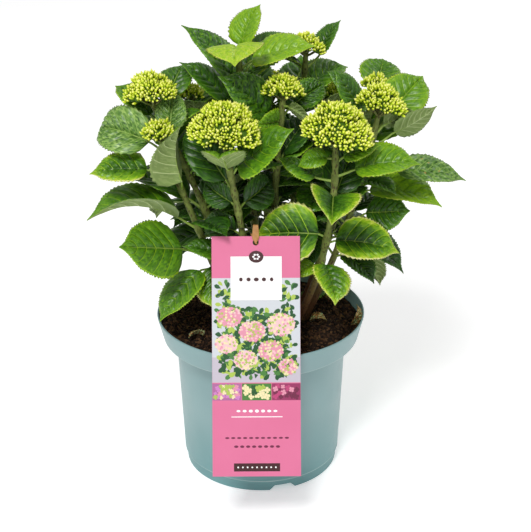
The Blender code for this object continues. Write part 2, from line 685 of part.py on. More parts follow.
def tie_route(card, stem):
    """The tie's closed line: through the card's hole, over its top edge and round the stem."""
    post, way = stem.point(TIE_AT), stem.way(TIE_AT)
    towards = across(way, card.hole - post)
    beside = way.cross(towards)
    round_it = stem.radius(TIE_AT) + TIE_RADIUS + TIE_SLACK
    edge = HOLE_INSET + 3 * TIE_RADIUS
    off = CARD_THICKNESS / 2 + TIE_RADIUS + TIE_SLACK
    return (
        card.hole - card.out * off * 1.5, card.hole + card.out * off,
        card.hole + card.up * HOLE_INSET * 0.6 + card.out * off * 1.3,
        card.hole + card.up * edge + card.out * TIE_RADIUS,
        card.hole + card.up * edge - card.out * off * 2.4,
        post - beside * round_it + towards * round_it * 0.5,
        post - beside * round_it * 0.75 - towards * round_it * 0.75,
        post - towards * round_it * 1.1,
        post + beside * round_it * 0.75 - towards * round_it * 0.75,
        post + beside * round_it + towards * round_it * 0.5,
    )


def smooth_loop(points, steps):
    """A closed curve through points, with some steps from each to the next."""
    found = []
    for index in range(len(points)):
        a, b, c, d = (points[(index + step) % len(points)] for step in (-1, 0, 1, 2))
        for step in range(steps):
            t = step / steps
            found.append(b + ((c - a) * t + (2 * a - 5 * b + 4 * c - d) * t * t
                              + (3 * b - a - 3 * c + d) * t ** 3) / 2)
    return found


def add_tie(card, stem):
    route = smooth_loop(tie_route(card, stem), TIE_STEPS)
    curve = bpy.data.curves.new("tag_tie", "CURVE")
    curve.dimensions = "3D"
    curve.bevel_depth = TIE_RADIUS
    curve.bevel_resolution = 1
    spline = curve.splines.new("POLY")
    spline.points.add(len(route) - 1)
    for place, point in zip(spline.points, route):
        place.co = (*point, 1)
    spline.use_cyclic_u = True
    curve.materials.append(finish("tie", TIE_COLOUR, 0.6))
    tie = bpy.data.objects.new("tag_tie", curve)
    bpy.context.scene.collection.objects.link(tie)
    mesh = tie.to_mesh()
    points = [vertex.co.copy() for vertex in mesh.vertices]
    faces = [tuple(face.vertices) for face in mesh.polygons]
    tie.to_mesh_clear()
    return points, faces


def fused(name, shapes, material):
    """One solid from closed shapes that overlap, joined by a Boolean union."""
    first, *rest = [add_object(name, *shape) for shape in shapes]
    group = bpy.data.collections.new(f"{name} pieces")
    for piece in rest:
        group.objects.link(piece)
    union = first.modifiers.new("union", "BOOLEAN")
    union.operation = "UNION"
    union.solver = "MANIFOLD"  # many thin shells at once, where the exact solver takes minutes
    union.operand_type = "COLLECTION"
    union.collection = group
    bpy.context.view_layer.update()
    graph = bpy.context.evaluated_depsgraph_get()
    mesh = bpy.data.meshes.new_from_object(first.evaluated_get(graph))
    first.modifiers.clear()
    first.data = mesh
    mesh.name = name
    mesh.materials.clear()
    mesh.materials.append(material)
    for piece in rest:
        bpy.data.objects.remove(piece)
    bpy.data.collections.remove(group)


def main():
    for obj in list(bpy.data.objects):
        bpy.data.objects.remove(obj)
    stems = {shoot.name: Stem(shoot) for shoot in SHOOTS}
    ledger = Ledger()
    ledger.add("pot", *add_pot())
    add_soil()
    card = Card()
    add_card(card)
    ledger.add("card", *card.solid(KEEP_OUT))
    ledger.add("tie", *add_tie(card, stems["front_left"]))
    heads = {}
    for shoot in SHOOTS:
        stem = stems[shoot.name]
        ledger.add(f"{shoot.name} stem", *stem.solid(0.0, 1.0, SHOOT_SIDES, SHOOT_BANDS))
        if shoot.bloom:
            heads[shoot.name] = Head(stem, shoot)
            for shape in heads[shoot.name].solids(CLEAR):
                ledger.add(f"{shoot.name} head", *shape)
    leaves = placed_leaves(stems, ledger)
    bark = finish("stem bark", STEM_COLOUR, 0.7)
    green = finish("foliage", FOLIAGE_COLOUR, 0.55)
    for shoot in SHOOTS:
        stem, blades = stems[shoot.name], leaves[shoot.name]
        split = min(blade.leaf.at for blade in blades) - BARE_SHARE
        gap = CLEAR / stem.length
        bare = stem.solid(0.0, split, STEM_SIDES, STEM_BANDS, flat_foot=True)
        add_object(f"stem_{shoot.name}", *bare, bark, smooth=True)
        shapes = [stem.solid(split + gap, 1.0, SHOOT_SIDES, SHOOT_BANDS)]
        shapes += [blade.solid() for blade in blades]
        if shoot.bloom:
            shapes += heads[shoot.name].solids()
        fused(f"foliage_{shoot.name}", shapes, green)


main()
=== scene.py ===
"""The looks of a hydrangea in bud, grown as a clump of leafy shoots in a round nursery pot.

Metres, +Z up, the origin under the middle of the pot, the front of the plant along -Y. The
leaves grow on from the stems by the same rule as the solids: each leaf that is set one by one is
placed first, then its twin, then the crossed pairs, wherever there is room. Tables of leaves
hold degrees and millimetres.
"""

from __future__ import annotations

import enum
import logging
import math
import random
from collections.abc import Iterable, Iterator, Sequence
from dataclasses import dataclass, field, replace

import bmesh
import bpy
from mathutils import Matrix, Vector
from mathutils.bvhtree import BVHTree


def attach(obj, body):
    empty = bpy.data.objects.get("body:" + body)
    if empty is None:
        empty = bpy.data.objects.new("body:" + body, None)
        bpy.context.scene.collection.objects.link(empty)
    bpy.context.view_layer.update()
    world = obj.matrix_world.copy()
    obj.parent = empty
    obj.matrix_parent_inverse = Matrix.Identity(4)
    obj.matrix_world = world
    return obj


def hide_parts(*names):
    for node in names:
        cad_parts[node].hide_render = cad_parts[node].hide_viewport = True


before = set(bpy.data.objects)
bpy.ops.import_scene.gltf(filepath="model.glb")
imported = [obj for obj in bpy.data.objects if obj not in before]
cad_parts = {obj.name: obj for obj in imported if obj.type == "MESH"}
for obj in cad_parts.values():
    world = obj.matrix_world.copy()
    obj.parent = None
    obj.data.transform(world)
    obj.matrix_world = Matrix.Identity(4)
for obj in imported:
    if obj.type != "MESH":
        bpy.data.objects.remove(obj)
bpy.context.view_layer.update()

MM = 0.001
UP = Vector((0, 0, 1))
CLEAR = 0.35 * MM
BODY = "root"
SEED = 11
GOLDEN_ANGLE = math.radians(137.508)

log = logging.getLogger("hydrangea")

Node = bpy.types.Node
Socket = bpy.types.NodeSocket
Mesh = bpy.types.Mesh
Piece = bpy.types.Object
Colour = tuple[float, float, float]
Outline = Sequence[tuple[float, float]]
Shape = tuple[list[Vector], list[tuple[int, ...]]]


# ---- plain geometry


def lerp(start: float, end: float, share: float) -> float:
    """A number part of the way from start to end."""
    return start + (end - start) * share


def blend(start: Colour, end: Colour, share: float) -> Colour:
    """A colour part of the way from start to end."""
    return tuple(lerp(a, b, share) for a, b in zip(start, end))


def clamp(value: float, low: float = 0.0, high: float = 1.0) -> float:
    """The value, held between low and high."""
    return min(high, max(low, value))


def ease(value: float) -> float:
    """A smooth step from 0 to 1."""
    value = clamp(value)
    return value * value * (3 - 2 * value)


def direction(heading: float, rise: float) -> Vector:
    """The unit vector of a heading and a climb in degrees."""
    heading, rise = math.radians(heading), math.radians(rise)
    flat = math.cos(rise)
    return Vector((flat * math.cos(heading), flat * math.sin(heading), math.sin(rise)))


def across(axis: Vector, hint: Vector) -> Vector:
    """The hint, turned square to the axis."""
    return (hint - axis * hint.dot(axis)).normalized()


def bezier(start: Vector, middle: Vector, end: Vector, share: float) -> Vector:
    """A point of a curve with one handle."""
    back = 1 - share
    return start * back * back + middle * 2 * back * share + end * share * share


def bezier_way(start: Vector, middle: Vector, end: Vector, share: float) -> Vector:
    """The direction of that curve."""
    return ((middle - start) * (1 - share) + (end - middle) * share).normalized()


def ring(centre: Vector, axis: Vector, radius: float, sides: int,
         hint: Vector = UP) -> list[Vector]:
    """A ring of points round an axis.

    Args:
        centre: The middle of the ring.
        axis: What it goes round.
        radius: Its radius.
        sides: How many points it has.
        hint: The rough direction of its first point.

    Returns:
        The points, in order.
    """
    if abs(axis.dot(hint)) > 0.9:
        hint = Vector((1, 0, 0))
    first = across(axis, hint)
    second = axis.cross(first)
    turns = [2 * math.pi * side / sides for side in range(sides)]
    return [centre + (first * math.cos(turn) + second * math.sin(turn)) * radius for turn in turns]


def bands(rings: int, sides: int, closed: bool = False) -> list[tuple[int, ...]]:
    """The faces between rings of points, and from the last ring to the first if closed."""
    faces = []
    for low in range(rings if closed else rings - 1):
        first, above = low * sides, (low + 1) % rings * sides
        for side in range(sides):
            after = (side + 1) % sides
            faces.append((first + side, first + after, above + after, above + side))
    return faces


def fan(first: int, sides: int, apex: int) -> list[tuple[int, ...]]:
    """The faces from a ring of points to one point."""
    return [(first + side, first + (side + 1) % sides, apex) for side in range(sides)]


def loft(rings: Sequence[Sequence[Vector]], start: Vector | None = None,
         end: Vector | None = None) -> Shape:
    """A skin over rings, closed at each end.

    Args:
        rings: Rings with the same number of points.
        start: The point that closes the first ring, or None for a flat cap.
        end: The same for the last ring.

    Returns:
        Points and faces.
    """
    sides = len(rings[0])
    points = [point for one in rings for point in one]
    faces = bands(len(rings), sides)
    for apex, first in ((start, 0), (end, (len(rings) - 1) * sides)):
        if apex is None:
            faces.append(tuple(range(first, first + sides)))
        else:
            points.append(apex)
            faces += fan(first, sides, len(points) - 1)
    return points, faces


def joined(shapes: Iterable[Shape]) -> Shape:
    """Several shapes as one."""
    points, faces = [], []
    for spots, skin in shapes:
        faces += [tuple(len(points) + index for index in face) for face in skin]
        points += spots
    return points, faces


def turned(profile: Outline, low: float, high: float, sides: int) -> Shape:
    """A turned solid.

    Args:
        profile: (radius, height) from the axis below to the axis above.
        low: The height of the lower pole.
        high: The height of the upper pole.
        sides: How many sides it has.

    Returns:
        Points and faces.
    """
    rings = [ring(Vector((0, 0, height)), UP, radius, sides, Vector((1, 0, 0)))
             for radius, height in profile]
    return loft(rings, Vector((0, 0, low)), Vector((0, 0, high)))


def eased(profile: Outline, radius: float) -> list[tuple[float, float]]:
    """A profile with its inner corners rounded.

    Args:
        profile: (radius, height) points.
        radius: The rounding, cut down on short edges.

    Returns:
        The rounded profile.
    """
    steps, most = 4, 0.45  # points along a corner, and the share of an edge that it may use
    corners = [Vector(point) for point in profile]
    found = [tuple(corners[0])]
    for before, corner, after in zip(corners, corners[1:], corners[2:]):
        back, ahead = before - corner, after - corner
        reach = min(radius, most * back.length, most * ahead.length)
        start, end = corner + back.normalized() * reach, corner + ahead.normalized() * reach
        found += [tuple(bezier(start, corner, end, step / steps)) for step in range(steps + 1)]
    return [*found, tuple(corners[-1])]


# ---- node trees


class Value:
    """A number or a vector in a node tree, so that sums can be written as they are said."""

    def __init__(self, nodes: Nodes, socket: Socket) -> None:
        """Holds the socket that carries the value."""
        self.nodes, self.socket = nodes, socket

    def __add__(self, other: object) -> Value:
        """Both numbers together."""
        return self.nodes.math("ADD", self, other)

    def __sub__(self, other: object) -> Value:
        """This number less the other."""
        return self.nodes.math("SUBTRACT", self, other)

    def __rsub__(self, other: object) -> Value:
        """The other number less this one."""
        return self.nodes.math("SUBTRACT", other, self)

    def __mul__(self, other: object) -> Value:
        """This number times the other."""
        return self.nodes.math("MULTIPLY", self, other)


class Nodes:
    """A node tree while it is built."""

    def __init__(self, tree: bpy.types.NodeTree) -> None:
        """Takes an empty tree."""
        self.tree = tree

    def add(self, kind: str, *values: object, **settings: object) -> Node:
        """Adds a node.

        Args:
            kind: The node's type.
            values: What goes into its inputs in order: a socket, a node, a constant, or None.
            settings: The node's properties.

        Returns:
            The node.
        """
        node = self.tree.nodes.new(kind)
        for name, value in settings.items():
            setattr(node, name, value)
        for socket, value in zip([one for one in node.inputs if one.enabled], values):
            self.feed(socket, value)
        return node

    def feed(self, socket: Socket, value: object) -> None:
        """Links a socket or a node to an input, or sets its constant."""
        if isinstance(value, Node):
            value = self.out(value)
        if isinstance(value, Value):
            value = value.socket
        if isinstance(value, Socket):
            self.tree.links.new(value, socket)
        elif value is not None:
            socket.default_value = value

    def out(self, node: Node, name: str = "") -> Value:
        """A node's output of that name, or its first one in use."""
        found = node.outputs[name] if name else next(one for one in node.outputs if one.enabled)
        return Value(self, found)

    def math(self, operation: str, *values: object) -> Value:
        """A sum on numbers."""
        return self.out(self.add("ShaderNodeMath", *values, operation=operation))

    def vector(self, operation: str, *values: object) -> Value:
        """A sum on vectors."""
        return self.out(self.add("ShaderNodeVectorMath", *values, operation=operation))

    def between(self, start: object, end: object, share: object) -> Value:
        """A number part of the way from start to end."""
        return self.out(self.add("ShaderNodeMix", share, start, end, data_type="FLOAT"))

    def noise(self, place: object, scale: float, detail: float = 2.0) -> Value:
        """Smooth noise from 0 to 1."""
        return self.out(self.add("ShaderNodeTexNoise", place, scale, detail))

    def spread(self, value: object, low: float, high: float, start: float = 0.0,
               end: float = 1.0) -> Value:
        """A number that runs from start to end as the value goes from low to high."""
        return self.out(self.add("ShaderNodeMapRange", value, low, high, start, end))

    def tinted(self, under: object, colour: Colour, share: object) -> Node:
        """A colour with a share of another one over it."""
        return self.add("ShaderNodeMix", share, under, (*light_of(colour), 1.0), data_type="RGBA")


class Grower(Nodes):
    """A geometry node tree that grows a mesh, with named sizes."""

    KEPT = ("sharp_face", "material_index")  # the attributes that the grown mesh needs

    def __init__(self, name: str) -> None:
        """Starts an empty tree."""
        super().__init__(bpy.data.node_groups.new(name, "GeometryNodeTree"))
        for way in ("INPUT", "OUTPUT"):
            self.tree.interface.new_socket("Geometry", in_out=way, socket_type="NodeSocketGeometry")
        self.start = self.tree.nodes.new("NodeGroupInput")
        self.sizes: dict[str, float] = {}

    def size(self, name: str, value: float) -> Value:
        """Adds a named input and returns its socket."""
        item = self.tree.interface.new_socket(name, in_out="INPUT", socket_type="NodeSocketFloat")
        self.sizes[item.identifier] = value
        return self.out(self.start, name)

    def read(self, name: str, kind: str = "FLOAT") -> Value:
        """The value of an attribute."""
        return self.out(self.add("GeometryNodeInputNamedAttribute", name, data_type=kind))

    def arrow(self, name: str) -> Value:
        """The value of an attribute that is a vector."""
        return self.read(name, "FLOAT_VECTOR")

    def dice(self, low: object, high: object, throw: int, kind: str = "FLOAT") -> Value:
        """A random value between two, always the same for one throw."""
        return self.out(self.add("FunctionNodeRandomValue", low, high, None, SEED + throw,
                                 data_type=kind))

    def copies(self, points: object, template: Piece, *values: object) -> Node:
        """Copies of a template on points; values are its rotation and its scale."""
        shape = self.add("GeometryNodeObjectInfo", template).outputs["Geometry"]
        return self.add("GeometryNodeInstanceOnPoints", points, None, shape, None, None, *values)

    def dressed(self, geometry: object, index: object, materials: Sequence[bpy.types.Material],
                smooth: bool = True) -> Node:
        """Faces with the material that a number picks.

        Args:
            geometry: The mesh.
            index: The number of each face's material.
            materials: The materials in order.
            smooth: Whether the faces are shaded smooth.

        Returns:
            The last node.
        """
        geometry = self.add("GeometryNodeStoreNamedAttribute", geometry, None, "finish", index,
                            data_type="INT", domain="FACE")
        number = self.read("finish", "INT")
        for place, material in enumerate(materials):
            here = self.math("COMPARE", number, place, 0.5)
            geometry = self.add("GeometryNodeSetMaterial", geometry, here, material)
        return self.add("GeometryNodeSetShadeSmooth", geometry, None, smooth)

    def grow(self, name: str, mesh: Mesh, last: Node) -> Piece:
        """Runs the tree on a mesh and keeps the result as a plain mesh.

        Args:
            name: The new piece's name.
            mesh: What the tree starts from.
            last: The tree's last node.

        Returns:
            The new object.
        """
        end = self.tree.nodes.new("NodeGroupOutput")
        self.feed(end.inputs[0], last)
        carrier = bpy.data.objects.new(f"{name}_carrier", mesh)
        bpy.context.scene.collection.objects.link(carrier)
        modifier = carrier.modifiers.new("grow", "NODES")
        modifier.node_group = self.tree
        for identifier, value in self.sizes.items():
            modifier[identifier] = value
        graph = bpy.context.evaluated_depsgraph_get()
        grown = bpy.data.meshes.new_from_object(carrier.evaluated_get(graph))
        bpy.data.objects.remove(carrier)
        bpy.data.node_groups.remove(self.tree)
        spare = [one.name for one in grown.attributes if not (
            one.is_required or one.is_internal or one.name in self.KEPT)]
        for one in spare:
            grown.attributes.remove(grown.attributes[one])
        return shown(name, grown)

    def grow_plain(self, name: str, mesh: Mesh, last: Node, finish: Finish) -> Piece:
        """Grows a smooth piece with one finish.

        Args:
            name: The new piece's name.
            mesh: What the tree starts from.
            last: The node that shapes the piece.
            finish: Its finish.

        Returns:
            The new object.
        """
        real = self.add("GeometryNodeRealizeInstances", last)
        dressed = self.add("GeometryNodeSetMaterial", real, None, finish.material())
        return self.grow(name, mesh, self.add("GeometryNodeSetShadeSmooth", dressed, None, True))


def shown(name: str, mesh: Mesh) -> Piece:
    """A mesh as an object of the scene."""
    mesh.name = name
    obj = bpy.data.objects.new(name, mesh)
    bpy.context.scene.collection.objects.link(obj)
    return obj


def mesh_of(name: str, points: Sequence[Vector], faces: Sequence[Sequence[int]],
            attributes: dict[str, Sequence[object]] | None = None) -> Mesh:
    """A mesh with attributes on its points, or on its faces if their name starts with face_.

    Args:
        name: The mesh's name.
        points: Its points.
        faces: Its faces, or none for loose points.
        attributes: Values by name.

    Returns:
        The mesh.
    """
    mesh = bpy.data.meshes.new(name)
    mesh.from_pydata([tuple(point) for point in points], [], [tuple(face) for face in faces])
    for key, values in (attributes or {}).items():
        vectors = isinstance(values[0], Vector)
        domain = "FACE" if key.startswith("face_") else "POINT"
        kind = "FLOAT_VECTOR" if vectors else "FLOAT"
        data = mesh.attributes.new(key, kind, domain).data
        if vectors:
            data.foreach_set("vector", [number for value in values for number in value])
        else:
            data.foreach_set("value", [float(value) for value in values])
    return mesh


def facing_out(mesh: Mesh) -> Mesh:
    """The mesh, with its doubles merged and its faces turned outwards."""
    bm = bmesh.new()
    bm.from_mesh(mesh)
    bmesh.ops.remove_doubles(bm, verts=bm.verts, dist=1e-6)
    bmesh.ops.recalc_face_normals(bm, faces=bm.faces)
    bm.to_mesh(mesh)
    bm.free()
    return mesh


# ---- finishes


def light_of(colour: Colour) -> Colour:
    """A colour of 0 to 255 as it looks on a screen, as light."""
    parts = [part / 255 for part in colour]
    return tuple(p / 12.92 if p <= 0.04045 else ((p + 0.055) / 1.055) ** 2.4 for p in parts)


@dataclass(frozen=True)
class Finish:
    """A surface. Colours run from 0 to 255, as they look on a screen."""

    name: str
    colour: Colour
    roughness: float = 0.5
    other: Colour | None = None  # the colour that it drifts to
    grain: float = 60.0  # how fine the drift is, per metre
    uneven: float = 0.12  # how much its roughness varies
    relief: float = 0.0  # how deep its fine relief is
    fineness: float = 900.0  # how fine that relief is, per metre
    specular: float = 0.5
    coat: float = 0.0
    sheen: float = 0.0
    glow: float = 0.0

    def material(self) -> bpy.types.Material:
        """The finish as a material, made once."""
        made = bpy.data.materials.get(self.name)
        if made:
            return made
        made = bpy.data.materials.new(self.name)
        made.use_nodes = True
        nodes = Nodes(made.node_tree)
        shader = made.node_tree.nodes["Principled BSDF"]
        place = nodes.add("ShaderNodeTexCoord").outputs["Object"]
        shader.inputs["Specular IOR Level"].default_value = self.specular
        shader.inputs["Coat Weight"].default_value = self.coat
        shader.inputs["Coat Roughness"].default_value = 0.25
        shader.inputs["Sheen Weight"].default_value = self.sheen
        shader.inputs["Emission Color"].default_value = (1.0, 1.0, 1.0, 1.0)
        shader.inputs["Emission Strength"].default_value = self.glow
        nodes.feed(shader.inputs["Base Color"], self.paint(nodes, place))
        patchy = nodes.noise(place, self.grain * 2.3)
        nodes.feed(shader.inputs["Roughness"], nodes.between(
            self.roughness - self.uneven, self.roughness + self.uneven, patchy))
        if self.relief:
            bump = nodes.add("ShaderNodeBump", 1.0, self.relief, None, self.height(nodes, place))
            nodes.feed(shader.inputs["Normal"], bump)
        return made

    def paint(self, nodes: Nodes, place: Socket) -> object:
        """The colour: plain, or drifting between two."""
        plain = (*light_of(self.colour), 1.0)
        if self.other is None:
            return plain
        share = nodes.spread(nodes.noise(place, self.grain, 4.0), 0.3, 0.7)
        return nodes.tinted(plain, self.other, share)

    def height(self, nodes: Nodes, place: Socket) -> object:
        """The relief's height."""
        return nodes.noise(place, self.fineness, 3.0)


@dataclass(frozen=True)
class BarkFinish(Finish):
    """Green stems with dark lenticels, which turn woody towards the soil."""

    wood: Colour = (106, 72, 44)
    speck: Colour = (66, 44, 28)
    wood_top: float = 0.27
    wood_foot: float = 0.20
    rag: float = 0.05  # how uneven the wood's upper edge is
    rag_fineness: float = 90.0
    speck_shape: float = 0.45  # under 1, the lenticels are longer than wide
    speck_fineness: float = 420.0
    speck_variety: float = 120.0
    speck_size: float = 0.62
    speck_strength: float = 0.75

    def paint(self, nodes: Nodes, place: Socket) -> object:
        """Green, speckled, and brown below."""
        green = super().paint(nodes, place)
        height = nodes.out(nodes.add("ShaderNodeSeparateXYZ", place), "Z")
        ragged = height + nodes.noise(place, self.rag_fineness) * self.rag - self.rag / 2
        woody = nodes.spread(ragged, self.wood_foot, self.wood_top, 1.0, 0.0)
        body = nodes.tinted(green, self.wood, woody)
        stretched = nodes.add("ShaderNodeMapping", place, None, None, (1.0, 1.0, self.speck_shape))
        cells = nodes.add("ShaderNodeTexVoronoi", stretched, self.speck_fineness)
        size = nodes.noise(place, self.speck_variety) * self.speck_size
        dots = nodes.math("LESS_THAN", cells.outputs["Distance"], size)
        return nodes.tinted(body, self.speck, dots * self.speck_strength)


@dataclass(frozen=True)
class PotFinish(Finish):
    """Moulded pot plastic, paler where its edges are worn, with painted shade deepening it towards
    the foot.
    """

    worn: Colour = (176, 199, 194)
    edges: tuple[float, float] = (0.013, 0.156)  # the heights of the foot's and the band's edge
    edge_width: float = 0.0011
    wear: float = 0.9
    wear_fineness: float = 40.0
    foot: Colour = (98, 146, 148)  # painted shade: a deeper colour towards the foot
    painted_shade_reach: float = 0.085

    def paint(self, nodes: Nodes, place: Socket) -> object:
        """The plastic's colour with a pale line along each moulded edge, and painted shade towards
        the foot.
        """
        body = super().paint(nodes, place)
        height = nodes.out(nodes.add("ShaderNodeSeparateXYZ", place), "Z")
        # painted shade: the plastic deepens towards the foot
        low = nodes.spread(height, 0.0, self.painted_shade_reach, 1.0, 0.0)
        body = nodes.tinted(body, self.foot, low)
        foot, band = (nodes.math("COMPARE", height, edge, self.edge_width) for edge in self.edges)
        share = (foot + band) * nodes.noise(place, self.wear_fineness) * self.wear
        return nodes.tinted(body, self.worn, share)


PALETTE_KEYS: tuple[Colour, ...] = (
    (22, 50, 12), (42, 84, 14), (74, 122, 18), (110, 158, 24), (150, 190, 30), (204, 214, 84),
    (238, 236, 168),
)
PALETTE_STEPS = 3  # shades from each key colour to the next
UNDER_SHADES: tuple[Colour, ...] = ((128, 150, 84), (140, 160, 94), (188, 204, 142))
DRY_SHADES: tuple[Colour, ...] = ((134, 92, 50), (190, 146, 88))
# greyer greens that paint the sheen of the light on quilted leaves
PAINTED_SHEEN_KEYS: tuple[Colour, ...] = ((46, 84, 26), (96, 138, 52), (152, 184, 94))


def ramp(keys: Sequence[Colour]) -> list[Colour]:
    """The shades from the first key colour to the last, all the keys among them."""
    found = [blend(key, after, step / PALETTE_STEPS)
             for key, after in zip(keys, keys[1:]) for step in range(PALETTE_STEPS)]
    return [*found, keys[-1]]


def leaf_finishes() -> list[Finish]:
    """The leaf finishes in order: greens from dark to cream, undersides, dry, and greyer greens
    with painted sheen.
    """
    found = [Finish(f"leaf green {index + 1}", colour, 0.36, specular=0.42)
             for index, colour in enumerate(ramp(PALETTE_KEYS))]
    found += [Finish(f"leaf underside {index + 1}", colour, 0.66, specular=0.3, sheen=0.1)
              for index, colour in enumerate(UNDER_SHADES)]
    found += [Finish(f"dry leaf {index + 1}", colour, 0.75, specular=0.2)
              for index, colour in enumerate(DRY_SHADES)]
    # painted sheen: greyer greens for quilted leaves that catch the light
    found += [Finish(f"silvery leaf {index + 1}", colour, 0.4, specular=0.5)
              for index, colour in enumerate(ramp(PAINTED_SHEEN_KEYS))]
    return found


GREENS = (len(PALETTE_KEYS) - 1) * PALETTE_STEPS + 1


@dataclass(frozen=True)
class Shade:
    """How a leaf is coloured: places along the key colours, from 0, the darkest."""

    heart: float
    outer: float
    vein: float
    # the margin: a real yellow margin on some leaves, and on every leaf a paler edge that paints
    # the highlight along it
    rim: float
    crinkle: float = 1.0
    under: int = 0


class Tone(enum.Enum):
    """The looks that a leaf can have."""

    DEEP = Shade(0.5, 1.1, 2.9, 1.9)
    DARK = Shade(1.2, 1.9, 3.4, 2.9)
    QUILTED = Shade(1.2, 2.1, 3.1, 2.9, crinkle=2.5)
    MIDDLE = Shade(1.7, 2.7, 3.9, 3.9, crinkle=1.2)
    BRIGHT = Shade(2.4, 3.2, 4.0, 4.2)
    LIME = Shade(3.2, 3.6, 4.3, 4.3)
    GOLD = Shade(4.1, 4.4, 4.8, 4.7, crinkle=0.8)
    EDGED = Shade(0.9, 4.6, 3.9, 5.6)
    TIPPED = Shade(1.5, 4.5, 4.0, 5.4, crinkle=1.3)
    DRY = Shade(7.2, 7.5, 7.5, 7.2, crinkle=1.6, under=2)  # past the greens
    SILVERY = Shade(9.0, 9.2, 9.9, 9.7, crinkle=2.2)  # past the dry ones; greyer greens that paint the sheen of the light


# ---- the plant's habit


@dataclass(frozen=True)
class Leaf:
    """One leaf: where it grows, and where its tip lies from there. Angles are in degrees."""

    at: float  # where its stalk leaves the stem, from 0 at the soil to 1 under the head
    heading: float  # 0 points right, 90 back and -90 to the front
    rise: float  # how steeply it climbs from the stem to its tip
    reach: float  # from the stem to its tip, in millimetres
    tone: Tone = Tone.DARK
    roll: float = 0.0  # turn about its own length
    fold: tuple[float, float] = (14.0, 14.0)  # how far the left and right halves stand up
    arch: float = 0.07  # how far its middle bows up, over its length
    broad: float = 0.74  # its width over its length
    stalk: float = 0.20  # the stalk's share of the reach
    lift: float = 14.0  # how much steeper the stalk climbs than the leaf as a whole
    twin: bool = False  # whether the opposite leaf of its pair grows too


@dataclass(frozen=True)
class Pairs:
    """Leaves in crossed pairs: steep and short at the top, flatter and longer lower down."""

    turn: float  # the heading of the topmost pair
    count: int
    reach: float
    highest: float = 0.87
    lowest: float = 0.32
    steepest: float = 34.0
    flattest: float = -8.0

    def leaves(self) -> Iterator[Leaf]:
        """The pairs' leaves from the top down."""
        for level in range(self.count):
            share = level / max(1, self.count - 1)
            at = lerp(self.highest, self.lowest, share)
            rise = lerp(self.steepest, self.flattest, share)
            reach = self.reach * lerp(0.78, 1.0, min(1.0, 1.6 * share))
            tone = (Tone.MIDDLE, Tone.DARK, Tone.DEEP)[min(2, level)]
            for half in (0, 180):
                heading = self.turn + 90 * (level % 2) + half
                yield Leaf(at, heading, rise, reach, tone, arch=0.10, stalk=0.26, lift=38)


@dataclass(frozen=True)
class Shoot:
    """One stem, its leaves and its head. Lengths are in millimetres."""

    name: str
    foot: tuple[float, float]  # x and y on the soil
    top: tuple[float, float, float]  # x, y and z of the stem's tip
    bow: tuple[float, float, float]  # how far the stem's middle stands off the straight line
    bloom: float  # the head's width, or 0 where the stem ends in leaves
    nod: tuple[float, float]  # how far the head leans to x and y, over its height
    leaves: tuple[Leaf, ...]  # the leaves that are set one by one
    pairs: tuple[Pairs, ...] = ()  # and those that follow a rule


